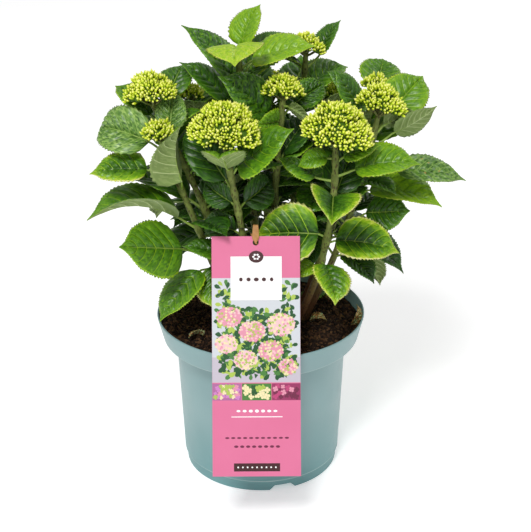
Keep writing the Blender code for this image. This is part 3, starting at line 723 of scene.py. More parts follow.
# the leaves' values in order: at, heading, rise, reach, tone, roll and fold
SHOOTS = (
    Shoot("crest", (0, 14), (-23, 28, 476), (2, 4, 0), 0, (0.0, 0.0), (
        Leaf(0.98, -91, 18, 82, Tone.GOLD, 8, (8, 26), arch=0.15, broad=0.8, stalk=0.24, lift=26),
        Leaf(0.96, 50, 54, 62, Tone.LIME, 0, (16, 16), arch=0.09, broad=0.76),
        Leaf(0.81, 161, 48, 102, Tone.QUILTED, -2, (12, 9), stalk=0.15, lift=20),
        Leaf(0.92, -11, 20, 86, Tone.LIME, 20, (10, 10), arch=0.06, lift=20),
        Leaf(0.89, 35, 24, 77, Tone.DARK, 27, (4, 9), arch=0.05, stalk=0.25),
        Leaf(0.76, 171, 38, 88, Tone.DARK, -10, (8, 8), arch=0.06, stalk=0.26, lift=0),
        Leaf(0.72, 88, 34, 100),
    ), (Pairs(50, 3, 88, highest=0.62, lowest=0.36, steepest=20),)),
    Shoot("front_left", (-2, -22), (-36, -55, 400), (2, -6, 0), 76, (0.0, -0.06), (
        Leaf(0.85, -98, 38, 74, Tone.MIDDLE, 5, (14, 18), arch=0.08, broad=0.8, stalk=0.24, lift=-6,
             twin=True),
        Leaf(0.84, -19, 41, 90, Tone.MIDDLE, 30, (0, 0), arch=0.02, broad=0.76, stalk=0.13),
        Leaf(0.75, 131, 36, 96, Tone.DEEP, -33, (24, 16), arch=0.06, broad=0.66, stalk=0.18,
             lift=4),
        Leaf(0.67, 141, 27, 50, Tone.DEEP, -62, (22, 26), arch=0.1),
        Leaf(0.66, 55, 15, 62, Tone.DEEP, 60, (26, 20), arch=0.1),
        Leaf(0.53, 142, 4, 54, Tone.DEEP, -54, (18, 24), arch=0.1),
        Leaf(0.39, -178, 16, 72, Tone.DARK, -12, (8, 10), arch=0.06, stalk=0.34, lift=0),
    )),
    Shoot("front_right", (38, -12), (77, -58, 400), (12, -14, 0), 76, (0.02, -0.06), (
        Leaf(0.93, 173, -15, 40, Tone.BRIGHT, -32, (14, 18), arch=0.1, broad=0.78),
        Leaf(0.91, -5, 24, 50, Tone.BRIGHT, 20, (5, 5), arch=0.04),
        Leaf(0.82, 166, 19, 64, Tone.MIDDLE, -14, (0, -8), arch=0.06, stalk=0.32, lift=-12),
        Leaf(0.84, -3, 10, 88, Tone.BRIGHT, 21, (16, 14), arch=0.09, broad=0.76, stalk=0.25),
        Leaf(0.69, -94, 15, 92, Tone.EDGED, 1, (8, 22), arch=0.1, broad=0.8, lift=20),
        Leaf(0.67, 69, 33, 82, Tone.DEEP, 19, (15, 20), stalk=0.25),
        Leaf(0.53, 166, -4, 80, Tone.EDGED, -50, (4, 20), arch=0.1, broad=0.88, stalk=0.12,
             lift=24),
        Leaf(0.5, -4, -7, 78, Tone.EDGED, 28, (18, 12), arch=0.1, broad=0.8, stalk=0.13, lift=26),
        Leaf(0.4, -78, -22, 64, Tone.TIPPED, -27, (16, 2), arch=0.09, broad=0.82, lift=28),
        Leaf(0.38, -147, -11, 34, Tone.LIME, -20, (10, 14), lift=24),
    )),
    Shoot("right", (48, 2), (124, -12, 416), (6, 0, -10), 54, (0.04, 0.0), (
        Leaf(0.92, 48, 32, 94, Tone.BRIGHT, 31, (12, 14), arch=0.09, broad=0.8, stalk=0.34, lift=0),
        Leaf(0.92, 173, 58, 80, Tone.DARK, -24, (0, 2), arch=0.02, stalk=0.36, lift=2),
        Leaf(0.91, 6, 28, 52, Tone.MIDDLE, -62, (10, 10), stalk=0.3, lift=20, twin=True),
        Leaf(0.85, 8, 33, 84, Tone.MIDDLE, -54, (-3, 0), arch=-0.04, broad=0.8, stalk=0.38, lift=4,
             twin=True),
        Leaf(0.74, -2, -2, 110, Tone.SILVERY, 11, (7, 10), arch=0.06, stalk=0.33, twin=True),
        Leaf(0.66, -11, -5, 92, Tone.LIME, 10, (18, 16), arch=0.09, broad=0.78, stalk=0.16, lift=30,
             twin=True),
        Leaf(0.5, -24, 29, 80, Tone.DARK, 40, (4, -16), arch=0.0, broad=0.84, stalk=0.4, lift=20,
             twin=True),
        Leaf(0.43, 7, -50, 72, Tone.BRIGHT, -38, (6, 10), arch=0.06, broad=0.76, stalk=0.38,
             lift=24),
    )),
    Shoot("left", (-22, -8), (-103, -30, 396), (4, 0, -14), 36, (-0.05, -0.03), (
        Leaf(0.78, -86, 68, 89, Tone.MIDDLE, 60, (24, 28), arch=0.1, broad=0.84, lift=-20),
        Leaf(0.94, 143, 5, 93, Tone.SILVERY, -48, (20, 27), arch=0.17, broad=0.78, stalk=0.25),
        Leaf(0.92, 82, 55, 74, Tone.SILVERY, 3, (9, 6), arch=0.09, stalk=0.4, lift=2),
        Leaf(0.85, 179, 0, 90, Tone.TIPPED, -25, (12, 12), stalk=0.32, lift=10, twin=True),
        Leaf(0.59, -166, 11, 121, Tone.MIDDLE, 16, (16, 32), arch=0.15, broad=0.8, stalk=0.22,
             lift=26, twin=True),
        Leaf(0.45, -142, 25, 122, Tone.MIDDLE, -48, (-8, -4), arch=0.01, broad=0.78, stalk=0.32,
             lift=6, twin=True),
        Leaf(0.38, -135, -24, 90, Tone.MIDDLE, 10, (3, 5), arch=0.04, broad=0.76, stalk=0.26,
             lift=34, twin=True),
        Leaf(0.42, -94, -23, 70, Tone.TIPPED, 20, (-2, -12), arch=0.03, lift=24),
    )),
    Shoot("left_high", (-20, 10), (-112, 0, 424), (8, 0, 0), 58, (-0.05, 0.0), (
        Leaf(0.89, 142, 30, 78, Tone.MIDDLE, -10, (22, 22), broad=0.8, stalk=0.3, lift=0),
        Leaf(0.92, 72, 37, 80, Tone.DARK, 8, (0, 15), arch=0.08, stalk=0.36),
        Leaf(0.72, 120, 26, 96),
        Leaf(0.52, 168, 14, 104, twin=True),
    ), (Pairs(50, 3, 96, highest=0.66, lowest=0.34, steepest=16),)),
    Shoot("centre", (14, 2), (25, 0, 429), (-4, 0, 0), 44, (0.0, 0.0), (
        Leaf(0.82, -170, 54, 98, Tone.QUILTED, -40, (14, 20), arch=0.08, broad=0.76, stalk=0.3),
        Leaf(0.92, 38, 28, 64, Tone.QUILTED, 50, (20, 24), arch=0.1, stalk=0.32, lift=9),
        Leaf(0.97, -35, -20, 40, Tone.MIDDLE, -58, (2, 6), arch=0.04, lift=22),
        Leaf(0.9, -131, 2, 46, Tone.BRIGHT, -90, (10, 14), arch=0.05, stalk=0.12),
        Leaf(0.7, 60, 24, 76, Tone.DEEP, twin=True),
    ), (Pairs(30, 4, 84, highest=0.66, lowest=0.34, steepest=18),)),
    Shoot("back_right", (24, 30), (50, 62, 458), (2, 4, 0), 40, (0.02, 0.02), (
        Leaf(0.94, 30, 47, 66, Tone.DARK, 5, (10, 18), arch=0.06, stalk=0.34, lift=-12),
        Leaf(0.79, 34, 30, 72, Tone.MIDDLE, 3, (27, 10), arch=0.12, broad=0.84, stalk=0.28,
             lift=40),
        Leaf(0.74, 0, 12, 84, Tone.LIME, -28, (8, 20), arch=0.14, stalk=0.3),
        Leaf(0.7, 88, 26, 98, twin=True),
        Leaf(0.56, 20, 12, 100, twin=True),
    ), (Pairs(110, 3, 92, highest=0.6, lowest=0.34, steepest=14),)),
    Shoot("right_back", (44, 24), (125, 45, 420), (4, 0, 0), 34, (0.04, 0.03), (
        Leaf(0.97, 79, 17, 78, Tone.MIDDLE, 22, (0, 15), arch=0.08, broad=0.8, stalk=0.26, lift=0),
        Leaf(0.93, 180, 41, 64, Tone.DARK, -24, (0, 2), arch=0.03, stalk=0.35, lift=8, twin=True),
        Leaf(0.74, 30, 20, 96, Tone.MIDDLE, 8, twin=True),
        Leaf(0.56, 70, 12, 108, twin=True),
    ), (Pairs(-30, 3, 96, highest=0.62, lowest=0.34, steepest=14),)),
    Shoot("back_left", (-12, 26), (-75, 55, 409), (6, 0, 0), 32, (-0.04, 0.03), (
        Leaf(0.86, 64, 36, 70, Tone.MIDDLE, twin=True),
        Leaf(0.76, 150, 28, 98, twin=True),
        Leaf(0.54, 110, 10, 106, twin=True),
    ), (Pairs(20, 3, 92, highest=0.66, lowest=0.34, steepest=14),)),
    Shoot("rear_left", (-26, 42), (-46, 84, 416), (-2, 8, 0), 34, (-0.03, 0.05), (),
          (Pairs(20, 5, 100),)),
    Shoot("rear", (4, 48), (12, 104, 388), (0, 12, 0), 62, (0.0, 0.08), (), (Pairs(70, 5, 108),)),
    Shoot("rear_right", (32, 46), (84, 100, 384), (2, 10, 0), 58, (0.05, 0.07), (),
          (Pairs(35, 5, 108),)),
    Shoot("rear_low", (-12, 58), (-62, 124, 330), (-4, 10, 0), 50, (-0.05, 0.1), (),
          (Pairs(50, 4, 100),)),
)

INNER = {
    "centre": (Leaf(0.6, -118, -8, 84, Tone.DEEP, roll=-16),
               Leaf(0.52, -64, -6, 78, Tone.DEEP, roll=14)),
    "front_left": (Leaf(0.56, -6, 4, 62, Tone.DEEP, roll=26), Leaf(0.6, 100, 10, 60, Tone.DEEP)),
    "left": (Leaf(0.62, -58, 8, 66, Tone.DEEP), Leaf(0.55, 30, 10, 70, Tone.DEEP)),
    "left_high": (Leaf(0.62, -88, -6, 84, Tone.DEEP), Leaf(0.5, -50, -12, 72, Tone.DEEP)),
    "right": (Leaf(0.6, -124, 0, 70, Tone.DEEP), Leaf(0.66, 120, 12, 70)),
    "right_back": (Leaf(0.6, -92, 0, 84, Tone.DEEP),),
    "back_right": (Leaf(0.6, -96, 0, 84, Tone.DEEP),),
}
BARE = ("front_left", "front_right", "left")  # shoots with no young pairs
YOUNG = (
    Pairs(45, 4, 60, highest=0.84, lowest=0.36, steepest=38, flattest=2),
    Pairs(0, 3, 46, highest=0.92, lowest=0.44, steepest=44, flattest=10),
)


class Stem:
    """The line of one shoot's stem, from the soil to its tip."""

    SOIL_TOP = 170 * MM
    RADIUS = 3.9 * MM
    TIP_RADIUS = 2.7 * MM
    FLARE = 0.45  # how much wider it is at the soil, as a share
    FLARE_LENGTH = 0.06

    def __init__(self, shoot: Shoot) -> None:
        """Lays out the line of a shoot."""
        self.start = Vector((*shoot.foot, self.SOIL_TOP / MM)) * MM
        self.end = Vector(shoot.top) * MM
        self.middle = (self.start + self.end) / 2 + Vector(shoot.bow) * 2 * MM

    def point(self, at: float) -> Vector:
        """A point of the line."""
        return bezier(self.start, self.middle, self.end, at)

    def way(self, at: float) -> Vector:
        """The line's direction."""
        return bezier_way(self.start, self.middle, self.end, at)

    def radius(self, at: float) -> float:
        """The stem's radius."""
        flare = 1 + self.FLARE * max(0.0, 1 - at / self.FLARE_LENGTH) ** 2
        return lerp(self.RADIUS, self.TIP_RADIUS, at) * flare

    def solid(self, sides: int = 6, bands: int = 4) -> Shape:
        """The plain limb, to test what has room beside it."""
        ats = [band / bands for band in range(bands + 1)]
        return loft([ring(self.point(at), self.way(at), self.radius(at), sides, Vector((0, 1, 0)))
                     for at in ats])


class Blade:
    """The curved frame of one leaf, with its stalk."""

    STALK_RADIUS = 1.5 * MM
    STALK_TAPER = 0.75
    STATIONS = (0.02, 0.09, 0.25, 0.45, 0.67, 0.86, 0.99)
    POWERS = (0.52, 0.92)  # how full the outline is at its base and at its tip
    KEEP_OUT = 1.7 * MM  # other pieces stay this far from the blade's middle surface

    def __init__(self, stem: Stem, leaf: Leaf) -> None:
        """Lays out a leaf on its stem."""
        self.leaf = leaf
        self.node = stem.point(leaf.at)
        reach = leaf.reach * MM
        out = direction(leaf.heading, leaf.rise + leaf.lift)
        self.bend(self.node + out * reach * leaf.stalk,
                  self.node + direction(leaf.heading, leaf.rise) * reach)

    def bend(self, base: Vector, tip: Vector) -> None:
        """Bows the blade from its base to its tip.

        Args:
            base: Where the stalk meets the blade.
            tip: Where the blade ends.
        """
        self.base, self.tip = base, tip
        self.length = (tip - base).length
        along = (tip - base).normalized()
        self.up = Matrix.Rotation(math.radians(self.leaf.roll), 3, along) @ across(along, UP)
        self.middle = (base + tip) / 2 + self.up * self.leaf.arch * 2 * self.length

    @classmethod
    def fullness(cls, t: float) -> float:
        """The outline: egg-shaped, with a drawn-out tip, 1 where it is widest."""
        low, high = cls.POWERS
        widest = low / (low + high)
        return (t / widest) ** low * ((1 - t) / (1 - widest)) ** high

    def place(self, t: float, s: float, lift: float = 0.0, grow: float = 0.0) -> Vector:
        """A point of the blade.

        Args:
            t: The share of its length.
            s: The place across it, from -1 on the left to 1 on the right.
            lift: The height over its middle surface.
            grow: What is added to its half width.

        Returns:
            The point.
        """
        way = bezier_way(self.base, self.middle, self.tip, t)
        side = way.cross(self.up).normalized()
        up = side.cross(way)
        fold = math.radians(self.leaf.fold[0 if s < 0 else 1])
        width = grow
        if 0 < t < 1:
            width += 0.5 * self.leaf.broad * self.length * self.fullness(t)
        out = side * s * math.cos(fold) + up * abs(s) * math.sin(fold)
        return bezier(self.base, self.middle, self.tip, t) + out * width + up * lift

    def room(self) -> Shape:
        """The space round the blade that no other piece may enter."""
        reach = self.KEEP_OUT
        section = ((-1, -reach), (-1, reach), (0, reach), (1, reach), (1, -reach), (0, -reach))
        return loft([[self.place(t, s, lift, reach / 2) for s, lift in section]
                     for t in self.STATIONS])

    def stalk_room(self) -> Shape:
        """The space that the stalk takes up."""
        way = (self.base - self.node).normalized()
        side = across(way, way.cross(self.up))
        up = side.cross(way)
        rings = []
        for point, share in ((self.node, 1.0), (self.base, self.STALK_TAPER)):
            radius = self.STALK_RADIUS * share + CLEAR
            rings.append([point + turn * radius for turn in (-side, up, side, -up)])
        return loft(rings)

    def rib(self) -> list[tuple[Vector, float]]:
        """The line of the stalk and of the midrib under the blade, each point with its radius."""
        radius, taper = self.STALK_RADIUS, self.STALK_TAPER
        line = [(self.node.lerp(self.base, share) - self.up * sag * 0.6 * MM,
                 radius * lerp(1.0, taper, share) * girth)
                for share, sag, girth in ((0.0, 0, 1.5), (0.12, 0.3, 1.25), (0.35, 1, 1.0),
                                          (0.65, 1, 1.0), (0.9, 0.5, 1.0))]
        for t in (0.05, 0.15, 0.3, 0.45, 0.6, 0.75, 0.9):
            thick = radius * taper * lerp(0.95, 0.2, t ** 0.8)
            line.append((self.place(t, 0, -0.5 * MM - 0.3 * thick), thick))
        return line


class Head:
    """The layout of one domed head: small umbels on rays from the stem's tip."""

    UMBELS = 7
    SHARE = 0.185  # a small umbel's radius over the head's width
    FLAT = 0.72
    LEAN = 0.7  # how far the outermost umbels lean out, over the head's axis
    SPREAD = 0.352  # how far their middles stand off that axis, over the head's width
    NOD = 4.0  # how strongly the head's axis follows the shoot's nod
    RISE = 0.46  # the dome's middle over the stem's tip, over the head's width
    DROP = 0.27  # the dome's edge under its middle
    RAY_RADIUS = 1.0 * MM
    HUB = 0.42  # how far a bunch's stalks meet under its middle, over its radius
    # the smaller umbels that fill the gaps at the edge: heading, and the share of the spread
    SPRIGS = ((232, 0.86), (283, 0.88), (8, 0.9), (70, 0.95), (150, 0.95))
    SPRIG_SHARE = 0.13  # their radius over the head's width

    def __init__(self, stem: Stem, shoot: Shoot) -> None:
        """Lays out a shoot's head."""
        self.width = shoot.bloom * MM
        self.start = stem.point(0.99)
        self.axis = (UP + Vector((*shoot.nod, 0)) * self.NOD).normalized()
        self.first = across(self.axis, Vector((1, 0, 0)))
        self.second = self.axis.cross(self.first)

    def umbels(self) -> list[tuple[Vector, Vector]]:
        """The middle and the axis of each small umbel, from the dome's middle outwards."""
        return [self.umbel(index * GOLDEN_ANGLE, math.sqrt(index / (self.UMBELS - 1)))
                for index in range(self.UMBELS)]

    def umbel(self, turn: float, share: float) -> tuple[Vector, Vector]:
        """The middle and the axis of the umbel at a turn and a share of the spread."""
        flat = self.first * math.cos(turn) + self.second * math.sin(turn)
        height = self.width * (self.RISE - self.DROP * share * share)
        middle = self.start + self.axis * height + flat * self.width * self.SPREAD * share
        return middle, (self.axis + flat * self.LEAN * share).normalized()

    def clusters(self) -> list[tuple[Vector, Vector, float]]:
        """Every umbel, the small ones too, with its radius over the head's width."""
        found = [(*umbel, self.SHARE) for umbel in self.umbels()]
        return found + [(*self.umbel(math.radians(heading), share), self.SPRIG_SHARE)
                        for heading, share in self.SPRIGS]

    def dome(self, middle: Vector, axis: Vector, grow: float, fineness: int,
             share: float = SHARE) -> Shape:
        """The rounded drum of one umbel.

        Args:
            middle: Its middle.
            axis: What it faces.
            grow: What is added to its radius.
            fineness: How finely it is divided.
            share: Its radius over the head's width.

        Returns:
            Points and faces.
        """
        bm = bmesh.new()
        radius = self.width * share + grow
        bmesh.ops.create_icosphere(bm, subdivisions=fineness, radius=radius)
        turn = axis.to_track_quat("Z", "Y").to_matrix().to_4x4()
        bm.transform(Matrix.Translation(middle) @ turn @ Matrix.Diagonal((1, 1, self.FLAT, 1)))
        points = [v.co.copy() for v in bm.verts]
        faces = [tuple(v.index for v in f.verts) for f in bm.faces]
        bm.free()
        return points, faces

    def solids(self) -> list[Shape]:
        """The plain drums and rays, to test what has room beside them."""
        found = []
        for middle, axis in self.umbels():
            found.append(self.dome(middle, axis, CLEAR, 1))
            way = (middle - self.start).normalized()
            start = self.start - way * self.RAY_RADIUS
            radii = (self.RAY_RADIUS * 1.2 + CLEAR, self.RAY_RADIUS + CLEAR)
            found.append(loft([ring(p, way, r, 3) for p, r in zip((start, middle), radii)]))
        return found


class Ledger:
    """The pieces that are in place, to test whether a new one has room."""

    def __init__(self) -> None:
        """Starts empty."""
        self.trees: list[tuple] = []

    @staticmethod
    def tree_of(points: Sequence[Vector], faces: Sequence[Sequence[int]]) -> tuple:
        """A shape's lowest and highest corner and its tree."""
        low = Vector(min(p[i] for p in points) for i in range(3))
        high = Vector(max(p[i] for p in points) for i in range(3))
        return low, high, BVHTree.FromPolygons(points, faces)

    def add(self, owner: str, shape: Shape) -> None:
        """Enters a shape under its owner's name."""
        self.trees.append((owner, *self.tree_of(*shape)))

    def touches(self, shape: Shape, but: Sequence[str] = ()) -> bool:
        """Whether a shape meets a piece in place.

        Args:
            shape: Its points and faces.
            but: Owners whose pieces it may meet.

        Returns:
            True if it does.
        """
        low, high, tree = self.tree_of(*shape)
        for owner, other_low, other_high, other in self.trees:
            if owner in but or any(
                low[i] > other_high[i] or high[i] < other_low[i] for i in range(3)
            ):
                continue
            if tree.overlap(other):
                return True
        return False


class Habit:
    """The whole clump: its stems, its heads, and every leaf that has room."""

    NUDGE_ANGLES = ((0, 0), (5, 0), (-5, 0), (0, 7), (0, -7), (10, 5), (-10, -5), (10, -9),
                    (-10, 9), (16, 0), (-16, 0), (4, 16), (-4, -16), (24, 6), (-24, -6),
                    (0, 26), (0, -26))
    NUDGE_REACHES = (1.0, 0.88, 0.76)
    # leaves that bend a little more than their plain frame: the shoot and the leaf's number
    EASED = {("crest", 0): {"rise": 7.0, "fold": (0.0, 4.0), "arch": 0.12, "broad": 0.90},
             ("front_left", 0): {"at": 0.872, "rise": 29.0, "arch": 0.12},
             ("front_right", 4): {"at": 0.745, "rise": -1.0, "reach": 72.0,
                                  "fold": (20.0, 46.0), "arch": 0.03, "broad": 1.04}}

    def __init__(self, pot: Pot, card: PlantingCard) -> None:
        """Grows the clump round the pot, the card and its tie.

        Args:
            pot: The pot that it stands in.
            card: The card that leans on it.
        """
        self.stems = {shoot.name: Stem(shoot) for shoot in SHOOTS}
        self.heads = {shoot.name: Head(self.stems[shoot.name], shoot)
                      for shoot in SHOOTS if shoot.bloom}
        ledger = Ledger()
        ledger.add("pot", pot.blank())
        ledger.add("card", card.blank(Blade.KEEP_OUT))
        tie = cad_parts["tag_tie"].data
        ledger.add("tie", ([v.co.copy() for v in tie.vertices],
                           [tuple(face.vertices) for face in tie.polygons]))
        for shoot in SHOOTS:
            ledger.add(f"{shoot.name} stem", self.stems[shoot.name].solid())
            if shoot.bloom:
                for shape in self.heads[shoot.name].solids():
                    ledger.add(f"{shoot.name} head", shape)
        self.blades = self.settle(self.wanted(), ledger)
        self.inner = self.settle(self.young(), ledger)
        for (name, number), bend in self.EASED.items():
            leaf = self.blades[name][number].leaf
            self.blades[name][number] = Blade(self.stems[name], replace(leaf, **bend))

    @staticmethod
    def twin_of(leaf: Leaf, dice: random.Random) -> Leaf:
        """The opposite leaf of a pair, a little different from the first."""
        heading = leaf.heading + 180 + dice.uniform(-14, 14)
        rise = min(58.0, abs(leaf.rise)) * dice.uniform(0.55, 0.9) + 4
        reach = leaf.reach * dice.uniform(0.82, 0.98)
        return Leaf(leaf.at - 0.004, heading, rise, reach, roll=dice.uniform(-14, 14))

    def tries(self, stem: Stem, leaf: Leaf) -> Iterator[Blade]:
        """The leaf as it is wanted, and then a little turned, lifted or shorter."""
        for share in self.NUDGE_REACHES:
            for lift, turn in self.NUDGE_ANGLES:
                yield Blade(stem, replace(leaf, rise=leaf.rise + lift,
                                          heading=leaf.heading + turn, reach=leaf.reach * share))

    def wanted(self) -> list[tuple[Shoot, Leaf]]:
        """The leaves in their order: those set one by one, their twins, and the crossed pairs."""
        dice = random.Random(SEED)
        found = [(shoot, leaf) for shoot in SHOOTS for leaf in shoot.leaves]
        found += [(shoot, self.twin_of(leaf, dice)) for shoot, leaf in found if leaf.twin]
        return found + [(shoot, leaf) for shoot in SHOOTS for pairs in shoot.pairs
                        for leaf in pairs.leaves()]

    @staticmethod
    def young() -> list[tuple[Shoot, Leaf]]:
        """The smaller leaves that fill the shade between the others."""
        found = [(shoot, leaf) for shoot in SHOOTS for leaf in INNER.get(shoot.name, ())]
        return found + [(shoot, leaf) for shoot in SHOOTS if shoot.name not in BARE
                        for pairs in YOUNG for leaf in pairs.leaves()]

    def settle(self, wanted: Sequence[tuple[Shoot, Leaf]],
               ledger: Ledger) -> dict[str, list[Blade]]:
        """Each shoot's leaves that find room.

        Args:
            wanted: The leaves in order.
            ledger: What is in place.

        Returns:
            The leaves by shoot.
        """
        found: dict[str, list[Blade]] = {shoot.name: [] for shoot in SHOOTS}
        for shoot, leaf in wanted:
            own = (f"{shoot.name} stem", f"{shoot.name} stalks")
            for blade in self.tries(self.stems[shoot.name], leaf):
                room, stalk = blade.room(), blade.stalk_room()
                if ledger.touches(room) or ledger.touches(stalk, but=own):
                    continue
                ledger.add(f"{shoot.name} leaves", room)
                ledger.add(own[1], stalk)
                found[shoot.name].append(blade)
                break
        return found


# ---- foliage


@dataclass
class LeafPattern:
    """One leaf laid flat: a closed shell with sunken veins between puffed panels."""

    veins: int = 7  # lateral veins on each side
    columns: tuple[float, ...] = (0.06, 0.12, 0.19, 0.26, 0.33, 0.40, 0.47, 0.54, 0.61, 0.68,
                                  0.75, 0.81, 0.87, 0.92, 0.96, 1.0)
    rows: tuple[float, ...] = (0.035, 0.17, 0.31, 0.44, 0.57, 0.70, 0.84, 0.965)  # in each panel
    teeth: tuple[float, ...] = (0.1, 1.0, 0.0, 1.0, 0.0, 1.0, 0.0, 0.7)  # along a panel's margin
    sweep: float = 0.72  # how far the veins bend towards the tip
    drawn_out: float = 0.58  # how much narrower the blade is near its tip
    tapers_from: float = 0.72
    tapers_over: float = 0.25
    trough: float = 0.16  # how wide the trough along the midrib is
    smooth_tip: float = 0.16  # the share of the length over which the teeth die out

    def station(self, u: float, s: float) -> float:
        """Where a row that leaves the midrib at u lies along the leaf, at s across it."""
        return u + self.sweep * math.sqrt(u) * (1 - u) * abs(s) ** 1.15

    def fullness(self, t: float) -> float:
        """The outline, with its tip drawn out to a point."""
        if not 0 < t < 1:
            return 0.0
        near_tip = ease((t - self.tapers_from) / self.tapers_over)
        return Blade.fullness(t) * (1 - self.drawn_out * near_tip)

    @classmethod
    def coarse(cls) -> LeafPattern:
        """A pattern with fewer faces, for small leaves in the shade."""
        return cls(columns=(0.14, 0.32, 0.52, 0.72, 0.88, 1.0), rows=(0.04, 0.27, 0.5, 0.73, 0.96),
                   teeth=(0.1, 1.0, 0.0, 1.0, 0.0))

    def mesh(self) -> Mesh:
        """The pattern, with what each point and face is, as attributes."""
        spans = [(panel + share, share, tooth) for panel in range(self.veins)
                 for share, tooth in zip(self.rows, self.teeth)]
        halves = [*(-c for c in reversed(self.columns)), -0.0, 0.0, *self.columns]
        middle = len(self.columns)
        keys = ("t", "s", "full", "rib", "puff", "vein", "tooth", "below", "rimward")
        data: dict[str, list[float]] = {key: [] for key in keys}

        def point(t: float, s: float, **more: float) -> int:
            """Adds a point and returns its number."""
            given = dict(t=t, s=s, full=self.fullness(t),
                         rimward=clamp(max(abs(s) ** 1.8, max(0.0, 1.7 * t - 0.7) ** 1.6)), **more)
            for key in keys:
                data[key].append(given.get(key, 0.0))
            return len(data["t"]) - 1

        base, tip = point(0.0, 0.0, below=0.5), point(1.0, 0.0, below=0.5)
        tops, belows = [], []
        kept = [column for column in range(len(halves))
                if (middle - column if column <= middle else column - middle - 1) % 2 == 0]
        for span, share, tooth in spans:
            u = span / self.veins
            panel = math.sin(math.pi * share) ** 0.6
            vein = 1.0 if share in (self.rows[0], self.rows[-1]) else 0.0
            top, below = [], []
            for column, s in enumerate(halves):
                t = self.station(u, s)
                rib = -1.0 if column == middle else 1.0 if column == middle + 1 else 0.0
                puff = panel * (1 - abs(s) ** 3) * ease(abs(s) / self.trough)
                more = dict(rib=rib, puff=puff, vein=vein * (1 - 0.6 * abs(s)))
                if abs(s) == 1:
                    tooth_here = tooth * min(1.0, (1 - t) / self.smooth_tip)
                    top.append(point(t, s, tooth=tooth_here, below=0.5, **more))
                    below.append(top[-1])
                    continue
                top.append(point(t, s, **more))
                if column in kept:
                    below.append(point(t, s, below=1.0, **more))
            tops.append(top)
            belows.append(below)
        faces, parts = [], []
        for under, grid in enumerate((tops, belows)):
            last = len(grid[0]) - 1
            for row in range(-1, len(grid)):
                on_vein = row >= 0 and (row + 1) % len(self.rows) == 0
                for column in range(last):
                    if row < 0:
                        face = (base, grid[0][column + 1], grid[0][column])
                    elif row == len(grid) - 1:
                        face = (grid[row][column], grid[row][column + 1], tip)
                    else:
                        face = (grid[row][column], grid[row][column + 1],
                                grid[row + 1][column + 1], grid[row + 1][column])
                    faces.append(face[::-1] if under else face)
                    rim = column in (0, last - 1)
                    vein = column == last // 2 or (on_vein and not rim)
                    parts.append(3 + vein if under else 2 if rim else 1 if vein else 0)
        places = [Vector((t, s, 0)) for t, s in zip(data["t"], data["s"])]
        return mesh_of("leaf pattern", places, faces, {**data, "face_part": parts})


